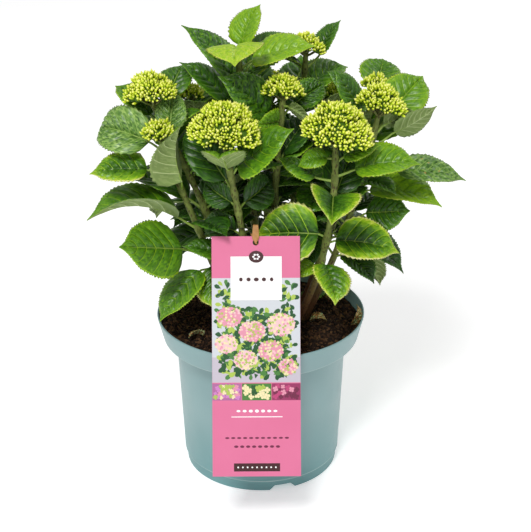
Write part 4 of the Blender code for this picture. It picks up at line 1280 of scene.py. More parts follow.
@dataclass
class Foliage:
    """The leaves of some shoots, grown from one pattern along each blade's own curve."""

    name: str
    thickness: float = 0.5 * MM
    quilting: float = 1.9 * MM  # how far the panels puff up between the veins
    puffing: tuple[float, float] = (0.6, 1.15)  # the share of that on smooth and on rough leaves
    crinkle: float = 0.8 * MM  # how uneven the surface is
    groove: float = 0.5 * MM  # how deep the veins sink
    ridge: float = 0.35 * MM  # how far the veins stand out below
    crown: float = 0.7 * MM  # how far each half is rounded up
    tooth: float = 2.1 * MM
    rib_width: float = 0.7 * MM
    narrow: float = 12 * MM  # where half the blade is narrower than this, it lies flatter
    rib_taper: float = 0.75
    cells: tuple[float, float] = (9.0, 4.0)  # how fine all unevenness is along it and across
    pucker_fineness: float = 2.3
    wave_fineness: float = 0.9
    waves: float = 1.8
    rim_waves: float = 2.6
    smooth_veins: float = 0.7  # how much of the puckers the veins take away

    JITTER = (0.5, 0.6)  # how far single faces change their shade, for each roughness and at all
    PATCHES = 5.0  # how far patches do
    PATCH_FINENESS = 1.4

    @staticmethod
    def places(shade: Shade, dice: random.Random) -> list[float]:
        """A leaf's colours as numbers of finishes, a little different on each leaf."""
        if shade == Tone.DRY.value:
            return [GREENS + len(UNDER_SHADES) + share for share in (0.3, 1.0, 1.0, 0.3)]
        return [PALETTE_STEPS * (place + dice.uniform(-0.18, 0.18))
                for place in (shade.heart, shade.outer, shade.vein, shade.rim)]

    def carriers(self, blades: Sequence[Blade]) -> Mesh:
        """One point for each leaf, with its curve and its colours."""
        dice = random.Random(self.name)
        keys = ("base", "middle", "tip", "up", "span", "left", "right", "heart", "outer", "pale",
                "edge", "rough", "under", "seed")
        data: dict[str, list] = {key: [] for key in keys}
        for blade in blades:
            leaf, shade = blade.leaf, blade.leaf.tone.value
            values = (blade.base, blade.middle, blade.tip, blade.up,
                      0.5 * leaf.broad * blade.length, math.radians(leaf.fold[0]),
                      math.radians(leaf.fold[1]), *self.places(shade, dice), shade.crinkle,
                      shade.under, dice.uniform(0, 50))
            for key, value in zip(keys, values):
                data[key].append(value)
        return mesh_of("leaf places", data["base"], [], data)

    def build(self, blades: Sequence[Blade], pattern: Piece) -> Piece:
        """Grows the leaves.

        Args:
            blades: The leaves' curves.
            pattern: The flat leaf.

        Returns:
            The piece.
        """
        g = Grower("leaf grower")
        real = g.add("GeometryNodeRealizeInstances", g.copies(g.start.outputs["Geometry"], pattern))
        t, s, rib, rough, below = (g.read(key) for key in ("t", "s", "rib", "rough", "below"))
        base, middle, tip = (g.arrow(key) for key in ("base", "middle", "tip"))
        back, size = 1.0 - t, g.math("ABSOLUTE", s)
        centre = g.vector("ADD", g.vector("ADD", g.vector("SCALE", base, back * back),
                                          g.vector("SCALE", middle, back * t * 2.0)),
                          g.vector("SCALE", tip, t * t))
        way = g.vector("NORMALIZE", g.vector(
            "ADD", g.vector("SCALE", g.vector("SUBTRACT", middle, base), back),
            g.vector("SCALE", g.vector("SUBTRACT", tip, middle), t)))
        side = g.vector("NORMALIZE", g.vector("CROSS_PRODUCT", way, g.arrow("up")))
        up = g.vector("CROSS_PRODUCT", side, way)
        fold = g.between(g.read("left"), g.read("right"), g.math("GREATER_THAN", s, 0.0))
        reach = g.read("span") * g.read("full") + g.read("tooth") * g.size("Tooth", self.tooth)
        aside = s * reach * g.math("COSINE", fold)
        ribbed = rib * g.size("Rib width", self.rib_width) * (1.0 - t * self.rib_taper)
        along, aslant = self.cells
        place = g.add("ShaderNodeCombineXYZ", t * along, s * aslant, g.read("seed"))
        flat = 1.0 - g.math("POWER", size, 4.0)
        fine = g.spread(g.noise(place, self.pucker_fineness), 0.38, 0.62)
        sunk = g.math("MAXIMUM", g.read("vein"), g.math("ABSOLUTE", rib))
        puckers = fine * rough * flat * (1.0 - below) * (1.0 - sunk * self.smooth_veins)
        waves = (g.noise(place, self.wave_fineness) - 0.5) * g.between(
            self.rim_waves, self.waves, flat)
        calm = g.math("MINIMUM", 1.0, g.math("DIVIDE", reach, g.size("Narrow", self.narrow)))
        puffed = g.between(*self.puffing, rough * 0.6)
        top = calm * (g.read("puff") * g.size("Quilting", self.quilting) * puffed
                      + sunk * g.size("Groove", -self.groove)
                      + size * (1.0 - size) * 4.0 * g.size("Crown", self.crown)
                      + (waves + puckers) * g.size("Crinkle", self.crinkle))
        under = below * (g.size("Thickness", self.thickness) + sunk * g.size("Ridge", self.ridge))
        lift = size * reach * g.math("SINE", fold) + top - under
        spot = g.vector("ADD", centre, g.vector("SCALE", side, aside + ribbed))
        spot = g.vector("ADD", spot, g.vector("SCALE", up, lift))
        bent = g.add("GeometryNodeSetPosition", real, None, spot)
        dressed = g.dressed(bent, self.shade(g, place, fine),
                            [finish.material() for finish in leaf_finishes()])
        return g.grow(self.name, self.carriers(blades), dressed)

    @classmethod
    def shade(cls, g: Grower, place: object, fine: Value) -> Value:
        """The number of each face's finish.

        Args:
            g: The tree.
            place: A place on the leaf, different for each leaf.
            fine: How high the fine puckers stand there, from 0 to 1; it paints highlight on their
                crests and shade in their hollows.

        Returns:
            A whole number.
        """
        part, rimward, rough = (g.read(key) for key in ("face_part", "rimward", "rough"))
        outer, heart = g.read("outer"), g.read("heart")
        jitter = g.dice(-1.0, 1.0, 0) * g.math("MULTIPLY_ADD", rough, *cls.JITTER)
        patch = (g.noise(place, cls.PATCH_FINENESS, 3.0) - 0.5) * cls.PATCHES
        rimmed = g.math("MINIMUM", 1.0, rimward + patch * rimward * 0.3)
        # painted highlight and shade: raised puckers take paler greens, sunken ones darker
        blade = g.between(heart, outer, rimmed) + jitter + patch * 0.5 + (fine - 0.5) * rough * 1.5
        vein = g.between(g.read("pale"), outer + 1.0, rimward * 0.8)
        below = g.read("under") + jitter * 0.3 + (GREENS + 0.4)
        # edge: the margin's shade, partly painted highlight along the leaf's edge
        shades = (blade, vein, g.read("edge") + jitter, below, GREENS + 2)
        first, *rest = (g.math("COMPARE", part, number, 0.5) * shade
                        for number, shade in enumerate(shades))
        whole = g.math("MAXIMUM", 0.0, g.math("ROUND", sum(rest, first)))
        return g.math("MINIMUM", len(leaf_finishes()) - 1, whole)


# ---- limbs


@dataclass
class Limbs:
    """Tubes along lines, each point with its own radius: stems, stalks and rays."""

    name: str
    sides: int
    finish: Finish
    grit: float = 0.0  # how far the bark stands out or sinks
    grit_fineness: float = 260.0

    def build(self, lines: Sequence[Sequence[tuple[Vector, float]]]) -> Piece:
        """Grows the tubes.

        Args:
            lines: Each line's points with their radius.

        Returns:
            The piece.
        """
        mesh = bpy.data.meshes.new("limb lines")
        points = [point for line in lines for point, _ in line]
        edges, first = [], 0
        for line in lines:
            edges += [(first + step, first + step + 1) for step in range(len(line) - 1)]
            first += len(line)
        mesh.from_pydata([tuple(point) for point in points], edges, [])
        girth = mesh.attributes.new("girth", "FLOAT", "POINT")
        girth.data.foreach_set("value", [radius for line in lines for _, radius in line])
        g = Grower("limb grower")
        curve = g.add("GeometryNodeMeshToCurve", g.start.outputs["Geometry"])
        section = g.add("GeometryNodeCurvePrimitiveCircle", self.sides, 1.0)
        tube = g.add("GeometryNodeCurveToMesh", curve, section, g.read("girth"), True)
        where = g.add("GeometryNodeInputPosition")
        swell = (g.noise(where, self.grit_fineness, 3.0) - 0.5) * g.size("Grit", self.grit) * 2.0
        out = g.vector("SCALE", g.add("GeometryNodeInputNormal").outputs["Normal"], swell)
        rough = g.add("GeometryNodeSetPosition", tube, None, None, out)
        return g.grow_plain(self.name, mesh, rough, self.finish)


@dataclass
class Stems:
    """The stems from the soil to the heads: swollen at their nodes and speckled."""

    bark: BarkFinish = BarkFinish(
        "stem bark", (126, 140, 66), 0.6, other=(86, 98, 42), grain=180.0, relief=0.3 * MM,
        fineness=1500.0, specular=0.3)
    stalk: Finish = Finish(
        "leaf stalk", (146, 172, 70), 0.5, other=(118, 148, 52), grain=120.0)
    ray: Finish = Finish(
        "flower ray", (120, 138, 62), 0.55, other=(104, 92, 58), grain=150.0)
    bands: int = 90
    girth: float = 1.05  # the stem's thickness over the plain limb's
    swelling: float = 0.32  # how much thicker it is at a node
    swelling_length: float = 5 * MM
    foot: float = 1.1  # how much thicker it is there
    foot_depth: float = 6 * MM  # how far the stem goes into the soil
    ray_sag: float = 0.03  # over the head's width

    def line(self, stem: Stem, blades: Sequence[Blade]) -> list[tuple[Vector, float]]:
        """A stem's line.

        Args:
            stem: The stem.
            blades: Its leaves, whose nodes are swollen.

        Returns:
            Its points, each with its radius.
        """
        nodes = sorted({round(blade.leaf.at, 2) for blade in blades})
        length = (stem.end - stem.start).length
        found = [(stem.start - UP * self.foot_depth, stem.radius(0) * self.foot)]
        for band in range(self.bands + 1):
            at = band / self.bands
            bulge = sum(math.exp(-(((at - node) * length) / self.swelling_length) ** 2)
                        for node in nodes)
            girth = self.girth + self.swelling * min(1, bulge)
            found.append((stem.point(at), stem.radius(at) * girth))
        return found

    def build(self, habit: Habit) -> list[Piece]:
        """The stems, the leaf stalks and the heads' rays.

        Args:
            habit: The clump.

        Returns:
            The three pieces.
        """
        stems = [self.line(habit.stems[shoot.name], habit.blades[shoot.name]) for shoot in SHOOTS]
        stalks = [blade.rib() for leaves in (habit.blades, habit.inner)
                  for blades in leaves.values() for blade in blades]
        rays = []
        for head in habit.heads.values():
            for middle, axis, share in head.clusters():
                hub = middle - axis * head.width * share * head.HUB
                bend = head.start.lerp(hub, 0.5) - head.axis * head.width * self.ray_sag
                rays.append([(bezier(head.start, bend, hub, along),
                              head.RAY_RADIUS * lerp(1.25, 0.8, along))
                             for along in (0.0, 0.2, 0.45, 0.7, 0.88, 1.0)])
        return [
            Limbs("stems", 16, self.bark, grit=0.28 * MM).build(stems),
            Limbs("leaf_stalks", 8, self.stalk).build(stalks),
            Limbs("flower_rays", 6, self.ray).build(rays),
        ]


# ---- buds


@dataclass
class Scatter:
    """Copies of a small shape set over a surface, each a little different."""

    name: str
    template: Piece
    parts: int  # how many parts the template's faces are told into
    finishes: list[Finish]  # the finishes of every part, for each kind in turn
    spacing: float
    density: float = 1e6
    smallest: float = 0.8
    largest: float = 1.2
    lean: float = 0.3
    smooth: bool = True
    stray: float = 0.0  # how far copies stand off the surface or sink into it
    hubs: bool = False  # whether each copy's root is drawn to its hub
    gaps: float = 0.0  # noise under this leaves the surface bare
    gap_fineness: float = 190.0

    def build(self, emitter: Mesh) -> Piece:
        """Scatters the shape.

        Args:
            emitter: The surface, with the attributes hub and axis on its points.

        Returns:
            The piece.
        """
        g = Grower("scatter")
        filled = g.math("GREATER_THAN", g.noise(g.add("GeometryNodeInputPosition"),
                                                self.gap_fineness), g.size("Gaps", self.gaps))
        spread = g.add("GeometryNodeDistributePointsOnFaces", g.start.outputs["Geometry"], filled,
                       g.size("Spacing", self.spacing), self.density, None, SEED,
                       distribute_method="POISSON")
        tilt = g.dice((-self.lean,) * 3, (self.lean,) * 3, 0, "FLOAT_VECTOR")
        aim = g.vector("ADD", g.vector("ADD", g.arrow("axis"), spread.outputs["Normal"]), tilt)
        turn = g.add("FunctionNodeAlignRotationToVector", None, None, aim, axis="Z")
        spin = g.add("FunctionNodeAxisAngleToRotation", UP, g.dice(0.0, 2 * math.pi, 1))
        turned_by = g.add("FunctionNodeRotateRotation", turn, spin, rotation_space="LOCAL")
        scale = g.dice(self.smallest, self.largest, 2)
        kind = g.dice(0, len(self.finishes) // self.parts - 1, 3, "INT")
        stand = g.dice(-1.0, 1.0, 4) * g.size("Stray", self.stray)
        moved = g.add("GeometryNodeSetPosition", spread.outputs["Points"], None, None,
                      g.vector("SCALE", spread.outputs["Normal"], stand))
        points = g.add("GeometryNodeStoreNamedAttribute", moved, None, "kind",
                       kind, data_type="FLOAT", domain="POINT")
        real = g.add("GeometryNodeRealizeInstances",
                     g.copies(points, self.template, turned_by, scale))
        if self.hubs:
            real = g.add("GeometryNodeSetPosition", real, g.read("root"), g.arrow("hub"))
        index = g.read("kind") * self.parts + g.read("face_part")
        last = g.dressed(real, index, [finish.material() for finish in self.finishes], self.smooth)
        return g.grow(self.name, emitter, last)


@dataclass
class Buds:
    """Tight flower buds over every umbel, each on a thread-like stalk, with painted highlight on
    its tip.
    """

    bodies: tuple[Colour, ...] = ((198, 216, 44), (214, 228, 62), (172, 200, 34))
    # painted highlight: the paler tips stand for light caught on each bud
    highlight_tips: tuple[Colour, ...] = ((240, 244, 112), (250, 250, 140), (222, 234, 72))
    cups: Colour = (124, 158, 34)
    # painted shade: the stalks' green, darkened for the shade inside each umbel
    core: Colour = (70, 102, 24)
    core_depth: float = 2.6 * MM
    spacing: float = 2.3 * MM
    profile: tuple[tuple[float, float], ...] = ((0.5, 0.0), (1.35, 1.3), (1.05, 3.0))
    height: float = 4.8  # in millimetres, as the profile is
    stalk: float = 4 * MM
    sides: int = 5
    sunk: float = 0.9 * MM  # how far the buds' feet stand inside the dome
    stray: float = 1.2 * MM  # how unevenly high they stand
    cut: float = -0.04  # how far down the domes carry buds, over their height
    gaps: float = 0.41  # how much of a dome is left bare between the bunches

    def template(self) -> Piece:
        """One bud on its stalk; the stalk's end is marked as its root."""
        rings = [ring(Vector((0, 0, z * MM)), UP, r * MM, self.sides) for r, z in self.profile]
        points = [point for one in rings for point in one]
        top = len(points)
        points += [Vector((0, 0, self.height * MM)), Vector((0, 0, -self.stalk))]
        body, tip = bands(len(rings), self.sides), fan(top - self.sides, self.sides, top)
        cup = [(after, side, root) for side, after, root in fan(0, self.sides, top + 1)]
        # part 2, the tip, takes the paler finish of painted highlight
        parts = [1] * len(body) + [2] * len(tip) + [0] * len(cup)
        roots = [0.0] * (top + 1) + [1.0]
        mesh = mesh_of("bud", points, body + tip + cup, {"root": roots, "face_part": parts})
        return bpy.data.objects.new("bud", mesh)

    def emitter(self, heads: Sequence[Head]) -> Mesh:
        """The upper part of every umbel's dome."""
        shapes, hubs, axes = [], [], []
        for head in heads:
            for middle, axis, share in head.clusters():
                radius = head.width * share
                dome, skin = head.dome(middle, axis, -self.sunk, 3, share)
                limit = self.cut * radius * head.FLAT
                upper = [face for face in skin if (sum((dome[index] for index in face), Vector())
                                                   / len(face) - middle).dot(axis) > limit]
                shapes.append((dome, upper))
                hubs += [middle - axis * radius * head.HUB] * len(dome)
                axes += [axis] * len(dome)
        return mesh_of("umbels", *joined(shapes), {"hub": hubs, "axis": axes})

    def cores(self, heads: Sequence[Head]) -> Piece:
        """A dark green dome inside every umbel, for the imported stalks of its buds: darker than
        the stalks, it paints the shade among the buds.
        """
        mesh = mesh_of("umbel_cores", *joined(
            head.dome(middle, axis, -self.core_depth, 2, share)
            for head in heads for middle, axis, share in head.clusters()))
        mesh.materials.append(Finish("bud stalks", self.core, 0.7, specular=0.2).material())
        mesh.shade_smooth()
        return shown("umbel_cores", mesh)

    def build(self, name: str, heads: Sequence[Head]) -> Piece:
        """The buds of some heads.

        Args:
            name: The piece's name.
            heads: The heads.

        Returns:
            The piece.
        """
        finishes = []
        for index, (body, tip) in enumerate(zip(self.bodies, self.highlight_tips)):
            # the tip finish is painted highlight
            finishes += [Finish("bud cup", self.cups, 0.5),
                         Finish(f"bud {index + 1}", body, 0.5, specular=0.25),
                         Finish(f"bud tip {index + 1}", tip, 0.5, specular=0.3)]
        scatter = Scatter(name, self.template(), 3, finishes, self.spacing, smallest=0.8,
                          largest=1.35, lean=0.5, stray=self.stray, hubs=True, gaps=self.gaps)
        return scatter.build(self.emitter(heads))


# ---- the pot and the soil


@dataclass
class Pot:
    """A thin turned wall with a deep flared band at the rim and a notched foot ring."""

    height: float = 183 * MM
    rim_radius: float = 115 * MM
    rim_round: float = 0.7 * MM
    wall: float = 1.5 * MM
    band_height: float = 27 * MM
    band_radius: float = 108.5 * MM
    body_top: float = 94.5 * MM
    body_low: float = 88 * MM
    foot_radius: float = 85.5 * MM
    foot_height: float = 13 * MM
    foot_ring: float = 6 * MM
    floor_lift: float = 7 * MM
    pad: float = 30 * MM
    notches: int = 3
    notch_foot: float = 15 * MM  # half its width where it stands
    notch_head: float = 9 * MM
    notch_height: float = 6 * MM
    first_notch: float = math.radians(-74)
    rounding: float = 0.9 * MM
    plain_sides: int = 40
    sides: int = 192
    plastic: PotFinish = PotFinish(
        "pot plastic", (132, 164, 165), 0.42, other=(125, 157, 158), grain=14.0, relief=0.06 * MM,
        fineness=2200.0, specular=0.45)

    def inner_radius(self, height: float) -> float:
        """The radius of the inner wall at a height over the ground."""
        ledge = self.height - self.band_height
        if height < ledge + self.wall:
            share = (height - self.foot_height) / (ledge - self.foot_height)
            return lerp(self.body_low, self.body_top, share) - self.wall
        share = (height - ledge) / self.band_height
        return lerp(self.band_radius, self.rim_radius, share) - self.wall

    def profile(self) -> list[tuple[float, float]]:
        """The turned outline, from the pad below to the floor inside."""
        ledge = self.height - self.band_height
        inside = self.floor_lift + self.wall
        ring_inside = self.foot_radius - self.foot_ring
        return [
            (self.pad, 0), (self.pad + self.wall, self.floor_lift),
            (ring_inside - self.wall, self.floor_lift), (ring_inside, 0),
            (self.foot_radius, 0), (self.foot_radius, self.foot_height - self.wall),
            (self.body_low, self.foot_height), (self.body_top, ledge), (self.band_radius, ledge),
            (self.rim_radius, self.height - 2 * self.rim_round),
            (self.rim_radius, self.height - self.rim_round),
            (self.rim_radius - self.rim_round, self.height),
            (self.rim_radius - self.wall, self.height),
            (self.inner_radius(ledge + self.wall), ledge + self.wall),
            (self.body_top - self.wall, ledge + self.wall), (self.inner_radius(inside), inside),
        ]

    def blank(self) -> Shape:
        """The plain pot, to test what has room beside it."""
        return turned(self.profile(), 0, self.floor_lift + self.wall, self.plain_sides)

    def build(self) -> Piece:
        """The finished pot, with its corners rounded and its notches cut."""
        shape = turned(eased(self.profile(), self.rounding), 0, self.floor_lift + self.wall,
                       self.sides)
        pot = shown("nursery_pot", facing_out(mesh_of("pot", *shape)))
        cutters = []
        for index in range(self.notches):
            turn = Matrix.Rotation(self.first_notch + 2 * math.pi * index / self.notches, 4, "Z")
            low = -self.wall
            section = ((-self.notch_foot, 0), (-self.notch_head, self.notch_height),
                       (self.notch_head, self.notch_height), (self.notch_foot, 0),
                       (self.notch_foot, low), (-self.notch_foot, low))
            spans = (self.foot_radius - 2 * self.foot_ring, self.body_low + self.foot_ring)
            rings = [[turn @ Vector((span, y, z)) for y, z in section] for span in spans]
            cutter = shown(f"notch_{index}", facing_out(mesh_of("notch", *loft(rings))))
            modifier = pot.modifiers.new(cutter.name, "BOOLEAN")
            modifier.operation, modifier.object = "DIFFERENCE", cutter
            cutters.append(cutter)
        graph = bpy.context.evaluated_depsgraph_get()
        mesh = bpy.data.meshes.new_from_object(pot.evaluated_get(graph))
        for obj in (pot, *cutters):
            bpy.data.objects.remove(obj)
        mesh.materials.clear()
        mesh.materials.append(self.plastic.material())
        mesh.shade_smooth()
        mesh.set_sharp_from_angle(angle=math.radians(38))
        return shown("nursery_pot", mesh)


@dataclass
class Soil:
    """Crumbly dark potting soil, with bark crumbs on it."""

    top: float = 170 * MM
    depth: float = 14 * MM
    gap: float = 0.4 * MM
    swell: float = 3.4 * MM  # how uneven the surface is
    heaps: float = 1.4  # how high the heaps are against the clods
    heap_fineness: float = 38.0
    clod_fineness: float = 170.0
    sink: float = -1.25
    rings: int = 84
    sides: int = 220
    earth: Finish = Finish(
        "potting soil", (50, 36, 27), 0.95, other=(24, 16, 12), grain=170.0, relief=1.2 * MM,
        fineness=420.0, specular=0.15)
    splinter: tuple[float, float, float] = (1.9, 0.8, 0.55)  # half its length, width, thickness
    crumb_reach: float = 107 * MM
    crumb_colours: tuple[Colour, ...] = ((40, 28, 20), (66, 46, 31), (28, 19, 14), (92, 66, 42))

    def surface(self, pot: Pot) -> Piece:
        """The soil's top and the skirt that goes down inside the pot."""
        low = self.top - self.depth
        edge = pot.inner_radius(self.top) - self.gap
        profile = [(pot.inner_radius(low) - self.gap, low)]
        profile += [(edge * (1 - step / self.rings), self.top) for step in range(self.rings)]
        mesh = facing_out(mesh_of("soil", *turned(profile, low, self.top, self.sides)))
        g = Grower("soil heap")
        where = g.add("GeometryNodeInputPosition")
        height = g.add("ShaderNodeSeparateXYZ", where).outputs["Z"]
        bumps = (g.noise(where, self.heap_fineness) * self.heaps
                 + g.noise(where, self.clod_fineness, 3.0) + self.sink)
        lift = bumps * g.size("Swell", self.swell) * g.math(
            "GREATER_THAN", height, low + 0.5 * self.depth)
        moved = g.add("GeometryNodeSetPosition", g.start.outputs["Geometry"], None, None,
                      g.add("ShaderNodeCombineXYZ", None, None, lift))
        return g.grow_plain("potting_soil", mesh, moved, self.earth)

    def crumb(self) -> Piece:
        """One splinter of bark."""
        dice = random.Random(SEED)
        long, wide, thick = self.splinter
        points = [Vector((x * long, y * wide, z * thick)) * MM * dice.uniform(0.7, 1.3)
                  for x in (-1, 1) for y in (-1, 1) for z in (-1, 1)]
        faces = [(0, 1, 3, 2), (4, 6, 7, 5), (0, 4, 5, 1), (2, 3, 7, 6), (0, 2, 6, 4), (1, 5, 7, 3)]
        mesh = mesh_of("crumb", points, faces, {"face_part": [0] * len(faces)})
        return bpy.data.objects.new("crumb", facing_out(mesh))

    def build(self, pot: Pot) -> list[Piece]:
        """The soil and the crumbs.

        Args:
            pot: The pot that it fills.

        Returns:
            The two pieces.
        """
        ground = self.surface(pot)
        emitter = bpy.data.meshes.new("crumb places")
        bm = bmesh.new()
        bm.from_mesh(ground.data)
        bmesh.ops.delete(bm, context="FACES", geom=[
            f for f in bm.faces if f.calc_center_median().xy.length > self.crumb_reach
            or f.normal.z < 0])
        bm.to_mesh(emitter)
        bm.free()
        axis = emitter.attributes.new("axis", "FLOAT_VECTOR", "POINT")
        axis.data.foreach_set("vector", [0.0, 0.0, 0.3] * len(emitter.vertices))
        finishes = [Finish(f"bark crumb {index + 1}", colour, 0.9, specular=0.2)
                    for index, colour in enumerate(self.crumb_colours)]
        scatter = Scatter("soil_crumbs", self.crumb(), 1, finishes, 2.6 * MM, smallest=0.5,
                          largest=1.7, lean=1.2, smooth=False)
        return [ground, scatter.build(emitter)]


# ---- the planting card


@dataclass
class PlantingCard:
    """The printed card that leans on the rim, with its generic print."""

    width: float = 92 * MM
    height: float = 250 * MM
    thickness: float = 0.8 * MM
    lean: float = math.radians(25)
    above_rim: float = 128 * MM
    middle: float = -4.5 * MM
    hole_inset: float = 6.5 * MM
    ink: float = 0.05 * MM  # the thickness of a printed layer
    stock: Finish = Finish(
        "printed card", (223, 117, 156), 0.38, other=(220, 113, 152), grain=25.0, specular=0.5,
        uneven=0.05, coat=0.15)
    inks: dict[str, Colour] = field(default_factory=lambda: {
        "white": (250, 248, 248), "brown": (66, 30, 32), "lilac grey": (196, 188, 200),
        "leaf ink": (74, 128, 58), "deep leaf ink": (34, 84, 42), "rose": (226, 150, 172),
        "cream ink": (238, 226, 176), "plum": (150, 52, 96), "lime ink": (172, 196, 84),
        "mauve": (176, 106, 156), "maroon": (112, 38, 70), "pale sky": (206, 210, 216),
        "pale rose": (240, 196, 200), "lilac": (206, 130, 196), "magenta": (190, 70, 120)})

    # the printed flower heads: an ink, x, y, half width and half height, in millimetres
    HEADS = (("rose", -28, 84, 13, 10.5), ("pale rose", 26, 92, 14.5, 11.5),
             ("rose", -4, 99, 13.5, 10.5), ("pale rose", -31, 112, 11.5, 9.5),
             ("rose", 15, 119, 13, 10.5), ("pale rose", -11, 129, 12, 9.5),
             ("rose", 33, 136, 9.5, 8))
    # where printed leaves grow: corners, in millimetres
    GREENERY = (
        ((-37, 51), (-30, 51), (-30, 72), (-37, 72)), ((31, 51), (37, 51), (37, 76), (31, 76)),
        ((-37, 74), (37, 82), (37, 144), (-37, 144)),
    )

    # rows of dots: an ink, how many, the row's middle, its pitch and its height, half a dot's
    # width and height, how much these lessen from the middle on, the layer and the corners
    DOTS = (("white", 9, 0.2, 4.9, 240.6, 0.9, 0.9, 0, 0, 1, 14),
            ("maroon", 11, 0.4, 6.2, 210, 2.2, 1.0, 0, 0, 0, 18),
            ("maroon", 8, 0.4, 6.2, 219, 2.2, 1.3, 0, 0, 0, 18),
            ("white", 7, 0.4, 6.4, 182, 2.1, 1.6, 0, 0.14, 0, 18),
            ("brown", 5, 0.4, 8.0, 45, 2.6, 2.0, 0.4, 0, 7, 20))

    def __post_init__(self) -> None:
        """Works out the card's place from the rim that it leans on."""
        pot = Pot()
        self.right = Vector((1, 0, 0))
        self.up = Vector((0, math.sin(self.lean), math.cos(self.lean)))
        self.out = self.right.cross(self.up)
        rest = Vector((self.middle, -pot.rim_radius, pot.height - pot.rim_round / 2))
        rest += self.out * (CLEAR + pot.rim_round / 2 + self.thickness / 2)
        self.top = rest + self.up * self.above_rim
        self.hole = self.top - self.up * self.hole_inset

    def blank(self, grow: float) -> Shape:
        """The plain card, to test what has room beside it."""
        wide, thick = self.width / 2 + grow, self.thickness / 2 + grow
        rings = []
        for height in (-self.height - grow, grow):
            middle = self.top + self.up * height
            rings.append([middle + self.right * wide * x + self.out * thick * z
                          for x, z in ((-1, -1), (1, -1), (1, 1), (-1, 1))])
        return loft(rings)

    def spot(self, x: float, y: float, lift: float) -> Vector:
        """A place on the card's face: x from its middle, y down from its top, both in mm."""
        face = self.out * (self.thickness / 2 + lift)
        return self.top + self.right * x * MM - self.up * y * MM + face

    def plate(self, outline: Outline, layer: int) -> Shape:
        """A printed patch, as a thin closed layer.

        Args:
            outline: Its corners in millimetres.
            layer: How many layers of ink lie under it.

        Returns:
            Points and faces.
        """
        lifts = ((layer - 0.5) * self.ink, (layer + 1) * self.ink)
        return loft([[self.spot(x, y, lift) for x, y in outline] for lift in lifts])

    @staticmethod
    def box(left: float, top: float, right: float, low: float) -> Outline:
        """The corners of a rectangle."""
        return [(left, top), (right, top), (right, low), (left, low)]

    @staticmethod
    def oval(x: float, y: float, wide: float, tall: float, corners: int = 40) -> Outline:
        """The corners of an oval round a middle."""
        turns = [2 * math.pi * corner / corners for corner in range(corners)]
        return [(x + wide * math.cos(turn), y + tall * math.sin(turn)) for turn in turns]

    def board(self) -> Piece:
        """The card itself, with its punched hole."""
        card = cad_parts["tag"]
        mesh = facing_out(card.data.copy())
        mesh.materials.clear()
        mesh.materials.append(self.stock.material())
        return shown("planting_card", mesh)

    def inked(self, name: str) -> Finish:
        """The finish of an ink."""
        return Finish(f"ink {name}", self.inks[name], 0.4, uneven=0.05)

    def patches(self) -> list[tuple[str, Outline, int]]:
        """The plain printed patches: an ink, an outline and a layer."""
        found = [
            ("pale sky", self.box(-45.9, 43.5, 45.9, 152.3), 0),
            ("lilac grey", self.box(-45.9, 126, 45.9, 152.3), 1),
            ("white", self.box(-26.3, 21, 27, 66.6), 6),
            ("brown", self.oval(0.4, 21.4, 7.6, 6.2), 7),
            ("white", self.box(-26.2, 187.6, 27, 188.5), 0),
            ("brown", self.box(-23.8, 236.4, 24.2, 244.8), 0),
            ("mauve", self.box(-45.9, 153.3, -15.6, 170.8), 0),
            ("leaf ink", self.box(-15, 153.3, 15.6, 170.8), 0),
            ("plum", self.box(16.2, 153.3, 45.9, 170.8), 0),
        ]
        found += [(ink, self.oval(*oval), 3) for ink, *oval in self.HEADS]
        found += [("white", self.oval(x, y, 1.2, 1.0, 14), 8)
                  for x, y in self.oval(0.4, 21.4, 2.9, 2.4, 6)]
        for ink, count, middle, pitch, y, wide, tall, thin, low, layer, corners in self.DOTS:
            for step in range(count):
                off = step - (count - 1) / 2
                found.append((ink, self.oval(middle + off * pitch, y, wide - thin * abs(off),
                                             tall - low * abs(off), corners), layer))
        return found

    def flat_prints(self) -> Piece:
        """The printed patches as one piece."""
        plates = [(ink, self.plate(outline, layer)) for ink, outline, layer in self.patches()]
        mesh = mesh_of("card print", *joined(plate for _, plate in plates))
        names = list(self.inks)
        for name in names:
            mesh.materials.append(self.inked(name).material())
        mesh.polygons.foreach_set("material_index", [
            names.index(ink) for ink, (_, skin) in plates for _ in skin])
        return shown("card_print", facing_out(mesh))

    def petals(self, count: int, length: float, width: float) -> Piece:
        """A small flat flower with its face along +Z.

        Args:
            count: Its petals, or 1 for a leaf.
            length: How long a petal is, in millimetres.
            width: How wide.

        Returns:
            The shape to scatter.
        """
        outline = ((0.0, 0.0), (0.5, -0.5), (0.82, -0.42), (1.0, 0.0), (0.82, 0.42), (0.5, 0.5))
        turns = [Matrix.Rotation(2 * math.pi * petal / count, 3, "Z") for petal in range(count)]
        points, faces = joined(
            loft([[turn @ Vector((x * length, y * width, z)) * MM for x, y in outline]
                  for z in (-0.02, 0.03)]) for turn in turns)
        mesh = mesh_of("petals", points, faces, {"face_part": [0] * len(faces)})
        return bpy.data.objects.new("petals", facing_out(mesh))

    def printed_area(self, outlines: Sequence[Outline], layer: float) -> Mesh:
        """The part of the card's face that motifs are scattered over.

        Args:
            outlines: Its patches.
            layer: How many layers of ink lie under it.

        Returns:
            The surface, with its axis on its points.
        """
        points, faces = joined(
            ([self.spot(x, y, layer * self.ink) for x, y in outline], [range(len(outline))])
            for outline in outlines)
        mesh = mesh_of("printed area", points, faces, {"axis": [self.out] * len(points)})
        if mesh.polygons[0].normal.dot(self.out) < 0:
            mesh.flip_normals()
        return mesh

